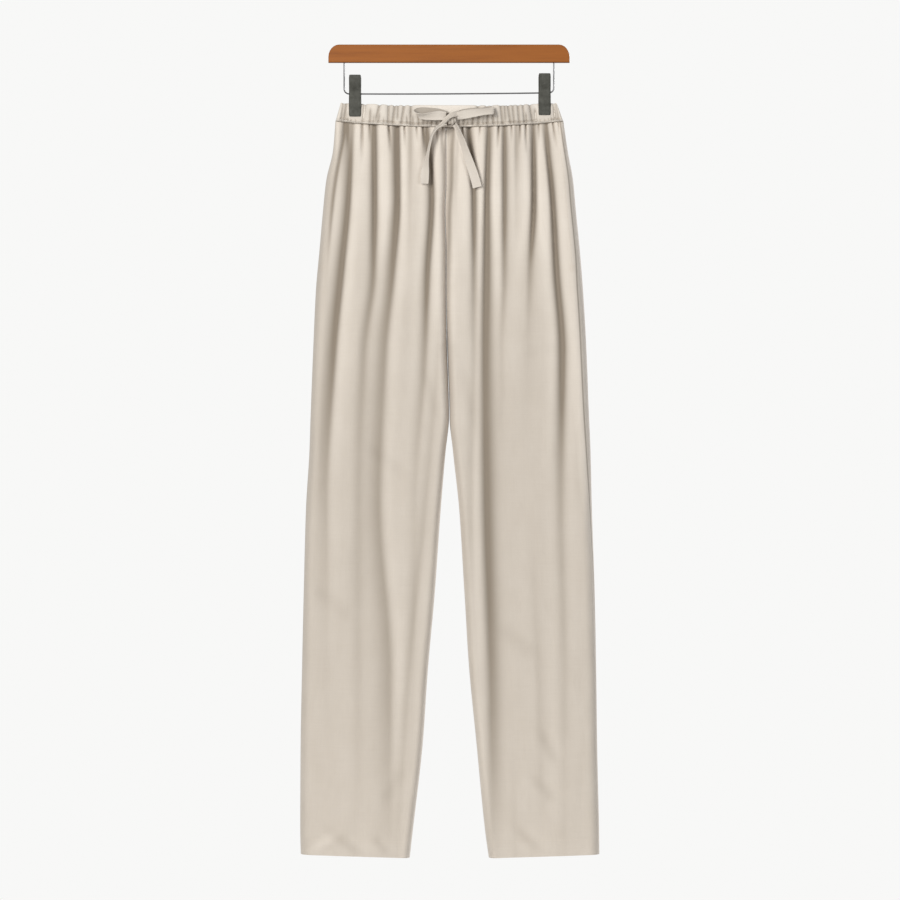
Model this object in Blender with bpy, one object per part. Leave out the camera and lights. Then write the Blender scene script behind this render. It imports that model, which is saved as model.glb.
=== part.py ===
"""Linen drawstring trousers hanging from a wooden clip hanger.

Metres, +Z up, +X to the viewer's right, the garment's front faces -Y.
The origin is the middle of the top of the hanger's wooden bar.
Cloth pieces are thin walls with open hems, and neighbours at a seam stay one seam gap apart.
"""
import math

import bmesh
import bpy
import numpy as np
from mathutils import Vector

MM = 0.001

# Hanger: a wooden bar, a wire let into its underside and two spring clips on the wire.
BAR_LENGTH = 0.338
BAR_HEIGHT = 0.025
BAR_DEPTH = 0.014
BAR_SHOULDER_RUN = 0.015
BAR_SHOULDER_DROP = 0.0175
BAR_BEVEL = 0.0012
BAR_BEVEL_STEPS = 2
BAR_SHOULDER_STEPS = 6
WIRE_DIAMETER = 0.002
WIRE_HALF_SPAN = 0.147
WIRE_DROP = 0.068
WIRE_SAG = 0.0007
WIRE_TILT = 0.0008
WIRE_CORNER = 0.007
WIRE_LET_IN = 0.012
WIRE_HOLE_CLEARANCE = 0.0005
WIRE_HOLE_SIDES = 12
WIRE_CORNER_STEPS = 5
WIRE_RUN_STEPS = 7
CLIP_WIDTH = 0.0178
CLIP_SHEET = 0.0014
CLIP_CENTRES = {"left": -0.1316, "right": 0.1340}
CLIP_TOPS = {"left": -0.0430, "right": -0.0410}
SPRING_RADIUS = 0.0036
SPRING_BORE = 0.0016
SPRING_LENGTH = 0.012
SPRING_SIDES = 16
# Outside of a clip plate in side view: distance out from the wire and below the clip's top, in
# millimetres. The lever leans out above the spring, and the jaw closes on the waistband below it.
CLIP_PROFILE = ((12.5, 0), (10.0, 12), (5.7, 22), (5.7, 30), (7.6, 37), (7.0, 43), (5.6, 49), (5.5, 58))

# Garment
GARMENT_OFFSET = 0.0014
SEAM_GAP = 0.0003
CLOTH = 0.0016
BAND_CLOTH = 0.0030
HEM_CLOTH = 0.0026
HEM_DEPTH = 0.025
WAIST_TOP = -0.0865
WAIST_TOP_RISE = 0.0045
WAIST_SEAM = -0.1160
WAIST_SEAM_RISE = 0.0090
WAIST_HALF = 0.160
HEM_INNER = -1.139
HEM_RISE = 0.005
HEM_INNER_X = 0.055
HEM_RUN = 0.155
CROTCH = -0.4205
RISE_RUN = 0.070
RISE_SHARE = 0.42
BAND_SHARE = 0.8
BAND_SHARE_RUN = 0.03
SIDE_TURN = 0.016
INNER_TURN = 0.011
CLIP_PINCH_HALF = 0.012
CLIP_PINCH_FALL = 0.012
PINCH_LEVEL = 0.7
SEAM_PINCH = 0.6
PINCH_LENGTH = 0.08
SIDE_STEPS = {"front": 4, "back": 6}
INNER_STEPS = 4
LINES_PER_FOLD = 3
SETTLE_ROUNDS = 5
FOLD_FALL = 1.6
SEAM_FOLD_SHARE = 0.3
SEAM_SETTLE = 0.016

# Height, left edge, right edge, middle, gap between the legs, front depth, back depth and how far
# the right side seam stands in from the right edge, all in millimetres.
SECTIONS = (
    (-106, -160.5, 159.0, -5.6, 0.3, 12.5, 12.0, 5.0),
    (-148, -164.0, 165.0, -5.6, 0.3, 19.0, 19.0, 5.0),
    (-190, -173.5, 172.5, -5.6, 0.3, 22.5, 25.0, 6.5),
    (-232, -178.0, 176.5, -7.0, 0.3, 24.0, 29.0, 7.0),
    (-288, -183.0, 182.0, -5.6, 0.3, 25.0, 32.0, 7.0),
    (-344, -188.0, 186.5, -5.6, 0.3, 25.0, 33.0, 8.5),
    (-420, -191.5, 191.0, -4.2, 0.4, 24.5, 31.0, 8.5),
    (-522, -195.5, 195.0, -1.0, 0.8, 23.0, 27.0, 7.5),
    (-568, -197.0, 197.0, -1.0, 10.0, 22.5, 26.0, 6.5),
    (-652, -202.0, 199.0, 0.0, 26.0, 21.5, 24.0, 3.0),
    (-764, -205.0, 202.8, -0.5, 41.0, 20.5, 22.0, 1.0),
    (-876, -207.5, 205.0, -2.0, 58.0, 19.5, 21.0, 0.0),
    (-988, -209.5, 206.5, -0.5, 77.0, 19.0, 20.0, 0.0),
    (-1100, -210.0, 209.0, -1.5, 101.0, 19.5, 20.0, 0.0),
    (-1140, -209.0, 209.5, -1.0, 111.0, 19.5, 20.0, 0.0),
)
SECTION_COLUMNS = ("z", "left", "right", "middle", "gap", "front", "back", "inset")

# Fold lines: leg, face, distance from the middle and depth at the seven fold heights, half width,
# all in millimetres.
FOLD_HEIGHTS = (-118, -215, -320, -430, -640, -880, -1135)
FOLDS = (
    ("left", "front", (-137, -140, -151, -161, -174, -161, -143), (6, 6, 6, 6, 4, 2, 1), 7),
    ("left", "front", (-105, -105, -106, -118, -126, -128, -130), (8, 7, 4, 3, 3, 1, 0), 7),
    ("left", "front", (-73, -71, -78, -97, -104, -86, -92), (9, 9, 6, 5, 5, 4, 3), 7),
    ("left", "front", (-31, -27, -31, -38, -49, -58, -75), (5, 9, 5, 3, 2, 1, 0), 7),
    ("right", "front", (33, 35, 38, 31, 30, 36, 66), (7, 6, 4, 1, 1, 1, 1), 6),
    ("right", "front", (56, 52, 50, 46, 53, 59, 84), (9, 9, 8, 7, 7, 6, 2), 7),
    ("right", "front", (79, 79, 76, 72, 84, 92, 104), (8, 6, 3, 1, 0, 0, 0), 7),
    ("right", "front", (116, 115, 112, 110, 120, 124, 130), (7, 9, 3, 1, 1, 2, 1), 7),
    ("right", "front", (135, 142, 148, 154, 153, 151, 155), (5, 9, 8, 7, 4, 2, 1), 6),
    ("left", "back", (-132, -138, -147, -158, -166, -165, -160), (7, 7, 6, 4, 3, 2, 1), 7),
    ("left", "back", (-98, -101, -108, -121, -131, -128, -120), (8, 8, 6, 4, 3, 2, 1), 7),
    ("left", "back", (-62, -66, -70, -79, -96, -99, -98), (9, 8, 7, 6, 5, 4, 2), 7),
    ("left", "back", (-33, -35, -37, -45, -52, -60, -78), (7, 8, 5, 3, 3, 2, 1), 7),
    ("right", "back", (36, 33, 36, 40, 50, 62, 82), (8, 7, 6, 3, 2, 2, 1), 7),
    ("right", "back", (70, 68, 74, 84, 98, 104, 106), (9, 9, 6, 5, 5, 3, 2), 7),
    ("right", "back", (103, 108, 113, 121, 134, 138, 132), (7, 7, 6, 4, 2, 2, 1), 7),
    ("right", "back", (134, 141, 150, 155, 165, 168, 164), (8, 6, 5, 5, 4, 2, 1), 6),
)
ROW_HEIGHTS = (
    -116, -128, -155, -190, -235, -290, -345, -390, -410, -420.5, -470,
    -522, -580, -660, -770, -890, -1010, -1114, -1115, -1139,
)

# Gathers of the elastic waistband.
GATHER_COUNT = 18
GATHER_DEPTH = 0.0011
GATHER_WANDER = 0.0030
GATHER_WANDER_LENGTH = 0.021
BAND_DEPTH_TOP = 0.0100
BAND_DEPTH_SEAM = 0.0125
BAND_PINCHED = 0.0036
BAND_TURN = 0.008
BAND_TURN_STEPS = 3
BAND_ROWS = 4
BAND_ENDS_TOP = (-0.1535, 0.1500)
BAND_ENDS_SEAM = (-0.1605, 0.1590)

# In-seam pocket bags. The outline gives the share of the way down and how far in from the side seam
# the bag reaches, and the steps are shares of that reach.
POCKET_TOP = -0.140
POCKET_BOTTOM = -0.416
POCKET_CLOTH = 0.0010
POCKET_SPREAD = 0.0007
POCKET_STAND_OFF = 0.0050
POCKET_SETTLE = 0.022
POCKET_OUTLINE = ((0, 0.040), (0.18, 0.058), (0.45, 0.080), (0.72, 0.092), (0.90, 0.086), (1, 0.060))
POCKET_STEPS = (0.0, 0.2, 0.5, 1.0)

# Drawstring: flat self-fabric tie. Route points are x, y, z in millimetres and the turn of the
# tape's width about its route in degrees. At 0 a loop's width is upright and a tail's lies flat.
TIE_WIDTH = 0.013
TIE_CLOTH = 0.0018
TIE_SAMPLES = 2
KNOT_CENTRE = (0.0020, -0.0210, -0.1065)
KNOT_RADII = (0.0062, 0.0048, 0.0060)
KNOT_SIDES = 12
KNOT_RINGS = 8
TIE_LOOPS = {
    "drawstring_loop_left": (
        (-5.5, -18.6, -99.6, 0), (-16, -18.0, -97.2, 0), (-28, -17.8, -95.8, 0),
        (-38, -18.0, -95.2, 6), (-43.6, -18.9, -95.6, 18), (-46.0, -21.3, -97.4, 40),
        (-44.2, -24.0, -99.8, 58), (-38, -25.2, -101.2, 50), (-28, -25.4, -101.2, 26),
        (-16, -25.0, -100.8, 6), (-5.8, -24.0, -101.0, 0),
    ),
    "drawstring_loop_right": (
        (9.4, -18.6, -100.2, 0), (20, -18.0, -97.6, -6), (34, -17.8, -95.4, -24),
        (48, -18.0, -94.0, -40), (57.4, -19.0, -93.4, -30), (60.2, -21.2, -93.4, 0),
        (58.0, -23.4, -93.6, 30), (48, -24.4, -94.8, 40), (34, -24.8, -96.8, 24),
        (20, -24.8, -99.2, 6), (9.8, -24.0, -101.0, 0),
    ),
}
TIE_TAILS = {
    "drawstring_tail_left": (
        (-6.0, -23.0, -112.0, 60), (-11, -23.8, -114.2, 66), (-17, -24.4, -117.6, 72),
        (-22, -24.8, -123.0, 76), (-25.4, -25.4, -130, 78), (-28.4, -26.4, -142, 78),
        (-31, -27.2, -155, 74), (-33.2, -27.4, -167, 56), (-34.6, -27.0, -178, 30),
        (-35.2, -26.4, -188, 14), (-35.4, -26.0, -196, 8),
    ),
    "drawstring_tail_right": (
        (7.2, -22.8, -112.4, 58), (10.6, -23.6, -118, 60), (14.0, -24.2, -126, 58),
        (17.4, -25.0, -136, 54), (21.0, -25.8, -147, 46), (25.0, -26.4, -159, 34),
        (29.2, -26.4, -171, 22), (33.2, -26.0, -183, 14), (36.2, -25.8, -193, 10),
        (38.2, -25.8, -201, 8),
    ),
}

COLOURS = {
    "wood": (0.42, 0.17, 0.045),
    "steel": (0.33, 0.33, 0.34),
    "clip": (0.075, 0.075, 0.062),
    "linen": (0.74, 0.66, 0.56),
    "linen_band": (0.76, 0.69, 0.60),
    "pocketing": (0.72, 0.66, 0.58),
    "tie": (0.78, 0.70, 0.60),
}
METALLIC = {"steel": 1.0, "clip": 0.6}
ROUGHNESS = {"wood": 0.35, "steel": 0.3, "clip": 0.45}
SIDE_SIGN = {"left": -1.0, "right": 1.0}
FACING = {"front": -1.0, "back": 1.0}


def clear_scene():
    for old in list(bpy.data.objects):
        bpy.data.objects.remove(old, do_unlink=True)


def finish_material(part, kind):
    material = bpy.data.materials.new(part.name + "_" + kind)
    material.use_nodes = True
    shader = material.node_tree.nodes["Principled BSDF"]
    shader.inputs["Base Color"].default_value = (*COLOURS[kind], 1.0)
    shader.inputs["Roughness"].default_value = ROUGHNESS.get(kind, 0.9)
    shader.inputs["Metallic"].default_value = METALLIC.get(kind, 0.0)
    part.data.materials.append(material)


def add_part(name, bm, kind, parent=None):
    """Turns a bmesh into a named object with its own material."""
    bmesh.ops.recalc_face_normals(bm, faces=bm.faces)
    mesh = bpy.data.meshes.new(name)
    bm.to_mesh(mesh)
    bm.free()
    part = bpy.data.objects.new(name, mesh)
    bpy.context.scene.collection.objects.link(part)
    part.parent = parent
    finish_material(part, kind)
    return part


def smooth_track(z, heights, values):
    """Values along a smooth line through those at the given heights, with no overshoot."""
    order = np.argsort(heights)
    knots = np.asarray(heights, float)[order]
    marks = np.asarray(values, float)[order]
    step = np.diff(knots)
    slope = np.diff(marks) / step
    tangent = np.zeros(len(knots))
    steady = slope[:-1] * slope[1:] > 0
    before, after = slope[:-1][steady], slope[1:][steady]
    tangent[1:-1][steady] = 2.0 * before * after / (before + after)
    tangent[0], tangent[-1] = slope[0], slope[-1]
    z = np.clip(z, knots[0], knots[-1])
    cell = np.clip(np.searchsorted(knots, z) - 1, 0, len(knots) - 2)
    width = step[cell]
    t = (z - knots[cell]) / width
    rise = t * t * (3.0 - 2.0 * t)
    start = t * (1.0 - t) ** 2 * width * tangent[cell]
    end = t * t * (t - 1.0) * width * tangent[cell + 1]
    return marks[cell] * (1.0 - rise) + marks[cell + 1] * rise + start + end


def section(z, column):
    """One column of the section table at height z, in metres."""
    index = SECTION_COLUMNS.index(column)
    heights = [row[0] * MM for row in SECTIONS]
    return smooth_track(z, heights, [row[index] * MM for row in SECTIONS])


def inner_edge(leg, z):
    return section(z, "middle") + SIDE_SIGN[leg] * 0.5 * section(z, "gap")


def quarter_turn(distance, reach):
    """0 at an edge, rising as a quarter of an ellipse to 1 at the reach."""
    share = np.clip(distance / reach, 0.0, 1.0)
    return np.sqrt(1.0 - (1.0 - share) ** 2)


def clip_pinch(x):
    """1 across each clip, falling to 0 beside it."""
    beside = [np.abs(x + GARMENT_OFFSET - centre) - CLIP_PINCH_HALF for centre in CLIP_CENTRES.values()]
    return sum(np.exp(-(np.maximum(gap, 0.0) / CLIP_PINCH_FALL) ** 2) for gap in beside)


def waist_seam_height(x):
    return WAIST_SEAM + WAIST_SEAM_RISE * (x / WAIST_HALF) ** 2


def rise_share(z):
    """How far out the centre seam stands, as a share of the depth: nothing from the crotch down."""
    climb = np.sqrt(np.clip((z - CROTCH) / RISE_RUN, 0.0, 1.0))
    at_band = np.clip(1.0 - (WAIST_SEAM - z) / BAND_SHARE_RUN, 0.0, 1.0)
    return climb * (RISE_SHARE + (BAND_SHARE - RISE_SHARE) * at_band)


def fold_rows(leg, face):
    return [row for row in FOLDS if row[0] == leg and row[1] == face]


def fold_line(row, z):
    return smooth_track(z, [h * MM for h in FOLD_HEIGHTS], [v * MM for v in row[2]])


def fold_cut(x, z, leg, face):
    """Depth that the folds take out of the cloth at x and z."""
    cut = np.zeros_like(x)
    for row in fold_rows(leg, face):
        depth = smooth_track(z, [h * MM for h in FOLD_HEIGHTS], [v * MM for v in row[3]])
        span = (x - fold_line(row, z)) / (row[4] * MM)
        cut += depth * np.exp(-FOLD_FALL * span ** 2)
    settle = np.clip((WAIST_SEAM - z) / SEAM_SETTLE, 0.0, 1.0)
    return cut * (SEAM_FOLD_SHARE + (1.0 - SEAM_FOLD_SHARE) * settle)


def stand_out(x, z, leg, face):
    """How far the cloth of one face stands out from the garment's middle plane."""
    side = quarter_turn(np.abs(section(z, leg) - x), SIDE_TURN)
    middle = quarter_turn(np.abs(x - inner_edge(leg, z)), INNER_TURN)
    rise = rise_share(z)
    pinch = SEAM_PINCH * np.clip(1.0 - (WAIST_SEAM - z) / PINCH_LENGTH, 0.0, 1.0) * clip_pinch(x)
    depth = section(z, face) * (1.0 - pinch)
    out = depth * side * (rise + (1.0 - rise) * middle) - fold_cut(x, z, leg, face) * side * middle
    return np.maximum(out, 0.0) + 0.5 * SEAM_GAP


def seam_angle(leg, z):
    """Angle round the side turn at which front and back meet: 0 is the outermost edge."""
    inset = section(z, "inset") if leg == "right" else np.zeros_like(z)
    return np.arccos(np.clip(1.0 - inset / SIDE_TURN, 0.0, 1.0))


def panel_heights(x):
    """Heights of every row of a panel, from the waist seam down to the slightly slanting hem."""
    level = (np.array(ROW_HEIGHTS)[:, None] - ROW_HEIGHTS[0]) / (ROW_HEIGHTS[-1] - ROW_HEIGHTS[0])
    top = waist_seam_height(x[0]) - SEAM_GAP
    hem = HEM_INNER + HEM_RISE * np.clip((np.abs(x[-1]) - HEM_INNER_X) / HEM_RUN, 0.0, 1.0)
    return top + (hem - top) * level


def side_seam_frame(leg, z):
    """Directions at the side seam: forwards along the cloth, and straight out of it."""
    sign = SIDE_SIGN[leg]
    angle = seam_angle(leg, z)
    depth = section(z, "front")
    still = np.zeros_like(z)
    forward = np.stack([-sign * SIDE_TURN * np.sin(angle), -depth * np.cos(angle), still], axis=-1)
    normal = np.stack([sign * depth * np.cos(angle), -SIDE_TURN * np.sin(angle), still], axis=-1)
    forward /= np.linalg.norm(forward, axis=-1, keepdims=True)
    normal /= np.linalg.norm(normal, axis=-1, keepdims=True)
    return forward, normal


def panel_columns(leg, face, z):
    """Places each column of a panel at the heights z: side turn, fold lines, inner turn."""
    sign = SIDE_SIGN[leg]
    facing = FACING[face]
    folds = sorted(fold_rows(leg, face), key=lambda row: -abs(row[2][0]))
    side_steps = SIDE_STEPS[face]
    count = z.shape[1]
    x = np.zeros_like(z)
    outward = np.zeros(z.shape + (3,))
    outward[..., 1] = facing
    on_front = np.full(z.shape, face == "front")
    for column in range(count):
        height = z[:, column]
        line = column - side_steps
        if line < 0:
            start = seam_angle(leg, height)
            angle = start + (-facing * math.pi / 2 - start) * column / side_steps
            x[:, column] = section(height, leg) - sign * SIDE_TURN * (1.0 - np.cos(angle))
            on_front[:, column] |= angle > 0.0
            outward[:, column, 0] = sign * np.cos(angle)
            outward[:, column, 1] = -np.sin(angle)
        elif line < LINES_PER_FOLD * len(folds):
            fold = folds[line // LINES_PER_FOLD]
            shoulder = 1 - line % LINES_PER_FOLD
            x[:, column] = fold_line(fold, height) + sign * shoulder * fold[4] * MM
        else:
            angle = (math.pi / 2) * (count - 1 - column) / INNER_STEPS
            x[:, column] = inner_edge(leg, height) + sign * INNER_TURN * (1.0 - math.cos(angle))
            outward[:, column, 0] = -sign * math.cos(angle)
            outward[:, column, 1] = facing * math.sin(angle)
    return x, outward, on_front


def panel_grid(leg, face):
    """Outer points of one leg panel, and the way that the cloth faces at each of them."""
    count = SIDE_STEPS[face] + LINES_PER_FOLD * len(fold_rows(leg, face)) + INNER_STEPS + 1
    share = np.linspace(1.0, 0.0, count)
    x = np.tile(SIDE_SIGN[leg] * WAIST_HALF * share, (len(ROW_HEIGHTS), 1))
    for _ in range(SETTLE_ROUNDS):
        z = panel_heights(x)
        x, outward, on_front = panel_columns(leg, face, z)
    y = np.where(on_front, -stand_out(x, z, leg, "front"), stand_out(x, z, leg, "back"))
    return np.stack([x, y, z], axis=-1), outward


def wall_normals(points, outward):
    """Unit normals of a grid of points, on the side that outward points to."""
    normals = np.cross(np.gradient(points, axis=0), np.gradient(points, axis=1))
    normals /= np.linalg.norm(normals, axis=-1, keepdims=True)
    facing = np.sum(normals * outward, axis=-1, keepdims=True)
    return np.where(facing < 0.0, -normals, normals)


def add_wall(name, outer, inner, kind, parent):
    """Closed wall between an outer and an inner grid of points."""
    bm = bmesh.new()
    layers = [[[bm.verts.new(point) for point in row] for row in grid] for grid in (outer, inner)]
    rows, columns = outer.shape[:2]

    def two_triangles(a, b, c, d):
        bm.faces.new((a, b, c))
        bm.faces.new((a, c, d))

    for grid in layers:
        for r in range(rows - 1):
            for c in range(columns - 1):
                two_triangles(grid[r][c], grid[r][c + 1], grid[r + 1][c + 1], grid[r + 1][c])
    border = [(0, c) for c in range(columns - 1)]
    border += [(r, columns - 1) for r in range(rows - 1)]
    border += [(rows - 1, c) for c in range(columns - 1, 0, -1)]
    border += [(r, 0) for r in range(rows - 1, 0, -1)]
    for (r0, c0), (r1, c1) in zip(border, border[1:] + border[:1]):
        two_triangles(layers[0][r0][c0], layers[0][r1][c1], layers[1][r1][c1], layers[1][r0][c0])
    return add_part(name, bm, kind, parent)


def add_leg_panel(leg, face, parent):
    """One front or back: waist seam to hem, side seam to centre seam and inseam."""
    outer, outward = panel_grid(leg, face)
    normals = wall_normals(outer, outward)
    forward, seam_normal = side_seam_frame(leg, outer[:, 0, 2])
    normals[:, 0] = seam_normal
    normals[:, -1] = (-SIDE_SIGN[leg], 0.0, 0.0)
    wrapped = seam_angle(leg, outer[:, 0, 2])[:, None] > 0.0
    toward = 1.0 if face == "front" else -1.0
    outer[:, 0] += np.where(wrapped, toward * 0.5 * SEAM_GAP * forward, 0.0)
    level = np.array(ROW_HEIGHTS)[:, None, None] * MM
    thickness = np.where(level < HEM_INNER + HEM_DEPTH, HEM_CLOTH, CLOTH)
    return add_wall(face + "_" + leg, outer, outer - thickness * normals, "linen", parent)


def band_ends(level):
    """Left and right ends of the waistband, from its top edge at level 0 to its seam at 1."""
    pairs = zip(BAND_ENDS_TOP, BAND_ENDS_SEAM)
    return [top + (seam - top) * level for top, seam in pairs]


def add_waistband(face, parent):
    """Front or back half of the elastic casing, gathered and pinched flat by the clips."""
    facing = FACING[face]
    level = np.linspace(0.0, 1.0, BAND_ROWS)[:, None]
    left, right = band_ends(level)
    turn = np.linspace(0.0, math.pi / 2, BAND_TURN_STEPS + 1)
    run = BAND_TURN * (1.0 - np.cos(turn))[None, :]
    share = np.linspace(0.0, 1.0, 2 * GATHER_COUNT + 1)[None, 1:-1]
    inner_left, inner_right = left + BAND_TURN, right - BAND_TURN
    middle = inner_left + (inner_right - inner_left) * share
    middle = middle + GATHER_WANDER * np.sin(middle / GATHER_WANDER_LENGTH) * np.sin(math.pi * share)
    x = np.hstack([left + run, middle, right - run[:, ::-1]])
    wave = np.zeros(x.shape[1])
    wave[len(turn):-len(turn)] = np.where(np.arange(middle.shape[1]) % 2 == 0, -1.0, 1.0)
    side = quarter_turn(np.minimum(x - left, right - x), BAND_TURN)
    pinch = clip_pinch(x)
    depth = BAND_DEPTH_TOP + (BAND_DEPTH_SEAM - BAND_DEPTH_TOP) * level
    release = (1.0 - SEAM_PINCH) * np.clip((level - PINCH_LEVEL) / (1.0 - PINCH_LEVEL), 0.0, 1.0)
    depth = depth + (BAND_PINCHED - depth) * pinch * (1.0 - release)
    out = depth * side + GATHER_DEPTH * wave * (1.0 - pinch) + 0.5 * SEAM_GAP
    top = WAIST_TOP + WAIST_TOP_RISE * (x / WAIST_HALF) ** 2
    z = top + (waist_seam_height(x) - top) * level
    outer = np.stack([x, facing * out, z], axis=-1)
    outward = np.zeros_like(outer)
    outward[..., 1] = facing
    outward[:, 0] = (-1.0, 0.0, 0.0)
    outward[:, -1] = (1.0, 0.0, 0.0)
    normals = wall_normals(outer, outward)
    normals[:, 0] = (-1.0, 0.0, 0.0)
    normals[:, -1] = (1.0, 0.0, 0.0)
    normals[..., 2] = 0.0
    normals /= np.linalg.norm(normals, axis=-1, keepdims=True)
    add_wall("waistband_" + face, outer, outer - BAND_CLOTH * normals, "linen_band", parent)


def add_pocket_bag(leg, parent):
    """Flat pouch inside the leg, open along the side seam."""
    sign = SIDE_SIGN[leg]
    level = np.array([row[0] for row in POCKET_OUTLINE])
    reach = np.array([row[1] for row in POCKET_OUTLINE])
    z = POCKET_TOP + (POCKET_BOTTOM - POCKET_TOP) * level
    angle = seam_angle(leg, z)
    seam_normal = side_seam_frame(leg, z)[1]
    seam_x = section(z, leg) - sign * SIDE_TURN * (1.0 - np.cos(angle))
    seam_y = -stand_out(seam_x[:, None], z[:, None], leg, "front")[:, 0] * (angle > 0.0)
    start_x = seam_x - POCKET_STAND_OFF * seam_normal[:, 0]
    start_y = seam_y - POCKET_STAND_OFF * seam_normal[:, 1]
    spread = np.where(level < 1.0, POCKET_SPREAD, SEAM_GAP)[:, None]
    along = np.array(POCKET_STEPS + POCKET_STEPS[::-1])[None, :]
    layer = np.repeat(list(FACING.values()), len(POCKET_STEPS))[None, :]
    run = along * reach[:, None]
    settle = np.clip(run / POCKET_SETTLE, 0.0, 1.0)
    y = start_y[:, None] * (1.0 - settle * settle * (3.0 - 2.0 * settle))
    height = np.repeat(z[:, None], run.shape[1], axis=1)
    outer_y = y + layer * (POCKET_CLOTH + spread / 2)
    outer = np.stack([start_x[:, None] - sign * run, outer_y, height], axis=-1)
    inner_run = np.minimum(run, reach[:, None] - POCKET_CLOTH)
    inner = np.stack([start_x[:, None] - sign * inner_run, y + layer * spread / 2, height], axis=-1)
    add_wall("pocket_bag_" + leg, outer, inner, "pocketing", parent)


def smooth_route(points, samples):
    """Points along a Catmull-Rom curve through the route's own points."""
    padded = [points[0] * 2 - points[1]] + list(points) + [points[-1] * 2 - points[-2]]
    route = []
    for p0, p1, p2, p3 in zip(padded, padded[1:], padded[2:], padded[3:]):
        for step in range(samples):
            t = step / samples
            bend = (p0 * 2 - p1 * 5 + p2 * 4 - p3) * t ** 2 + (p1 * 3 - p0 - p2 * 3 + p3) * t ** 3
            route.append((p1 * 2 + (p2 - p0) * t + bend) * 0.5)
    return route + [points[-1]]


def add_tape(name, rows, upright, parent):
    """Flat tie along a route, its width turned about the route as the rows say."""
    route = smooth_route([Vector(row) for row in rows], TIE_SAMPLES)
    centres = [Vector(point[:3]) * MM for point in route]
    bm = bmesh.new()
    rings = []
    for index, centre in enumerate(centres):
        ahead = centres[min(index + 1, len(centres) - 1)]
        behind = centres[max(index - 1, 0)]
        travel = (ahead - behind).normalized()
        base = Vector((0, 0, 1)) if upright else travel.cross(Vector((0, 1, 0)))
        base = (base - travel * base.dot(travel)).normalized()
        turn = math.radians(route[index][3])
        across = base * math.cos(turn) + travel.cross(base) * math.sin(turn)
        out = travel.cross(across)
        corners = ((-1, -1), (1, -1), (1, 1), (-1, 1))
        ring = [centre + across * (a * TIE_WIDTH / 2) + out * (b * TIE_CLOTH / 2) for a, b in corners]
        rings.append([bm.verts.new(corner) for corner in ring])
    for ring, following in zip(rings, rings[1:]):
        for k in range(4):
            n = (k + 1) % 4
            bm.faces.new((ring[k], ring[n], following[n]))
            bm.faces.new((ring[k], following[n], following[k]))
    bm.faces.new(rings[0])
    bm.faces.new(rings[-1])
    add_part(name, bm, "tie", parent)


def add_knot(parent):
    bm = bmesh.new()
    bmesh.ops.create_uvsphere(bm, u_segments=KNOT_SIDES, v_segments=KNOT_RINGS, radius=1.0)
    bmesh.ops.scale(bm, verts=bm.verts, vec=KNOT_RADII)
    bmesh.ops.translate(bm, verts=bm.verts, vec=KNOT_CENTRE)
    add_part("drawstring_knot", bm, "tie", parent)


def bar_outline():
    """Front view of the bar: square lower corners, long rounded shoulders."""
    half = BAR_LENGTH / 2
    right = [(half, -BAR_HEIGHT)]
    for step in range(BAR_SHOULDER_STEPS + 1):
        angle = (math.pi / 2) * step / BAR_SHOULDER_STEPS
        run = BAR_SHOULDER_RUN * (1.0 - math.cos(angle))
        right.append((half - run, -BAR_SHOULDER_DROP * (1.0 - math.sin(angle))))
    return right + [(-x, z) for x, z in reversed(right)]


def add_hanger_bar():
    """Wooden bar with two blind holes underneath for the ends of the wire."""
    bm = bmesh.new()
    front = bm.faces.new([bm.verts.new((x, -BAR_DEPTH / 2, z)) for x, z in bar_outline()])
    extruded = bmesh.ops.extrude_face_region(bm, geom=[front])
    moved = [item for item in extruded["geom"] if isinstance(item, bmesh.types.BMVert)]
    bmesh.ops.translate(bm, verts=moved, vec=(0, BAR_DEPTH, 0))
    rim = [edge for edge in bm.edges if abs(edge.verts[0].co.y - edge.verts[1].co.y) < BAR_DEPTH / 2]
    bmesh.ops.bevel(
        bm, geom=rim, offset=BAR_BEVEL, segments=BAR_BEVEL_STEPS, affect="EDGES", profile=0.5)
    bar = add_part("hanger_bar", bm, "wood")
    for side, sign in SIDE_SIGN.items():
        drill = bmesh.new()
        radius = WIRE_DIAMETER / 2 + WIRE_HOLE_CLEARANCE
        length = 2 * (WIRE_LET_IN + MM)
        bmesh.ops.create_cone(
            drill, cap_ends=True, segments=WIRE_HOLE_SIDES, radius1=radius, radius2=radius, depth=length)
        cutter = add_part("wire_hole_cutter_" + side, drill, "wood")
        cutter.location = (sign * WIRE_HALF_SPAN, 0, -BAR_HEIGHT)
        cutter.hide_render = True
        cutter.display_type = "WIRE"
        hole = bar.modifiers.new("wire_hole_" + side, "BOOLEAN")
        hole.operation = "DIFFERENCE"
        hole.solver = "EXACT"
        hole.object = cutter


def wire_height(x):
    """Height of the wire's long run, which sags a little and rises slightly to the right."""
    share = x / WIRE_HALF_SPAN
    return -WIRE_DROP - WIRE_SAG * (1.0 - share ** 2) + WIRE_TILT * share


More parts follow.
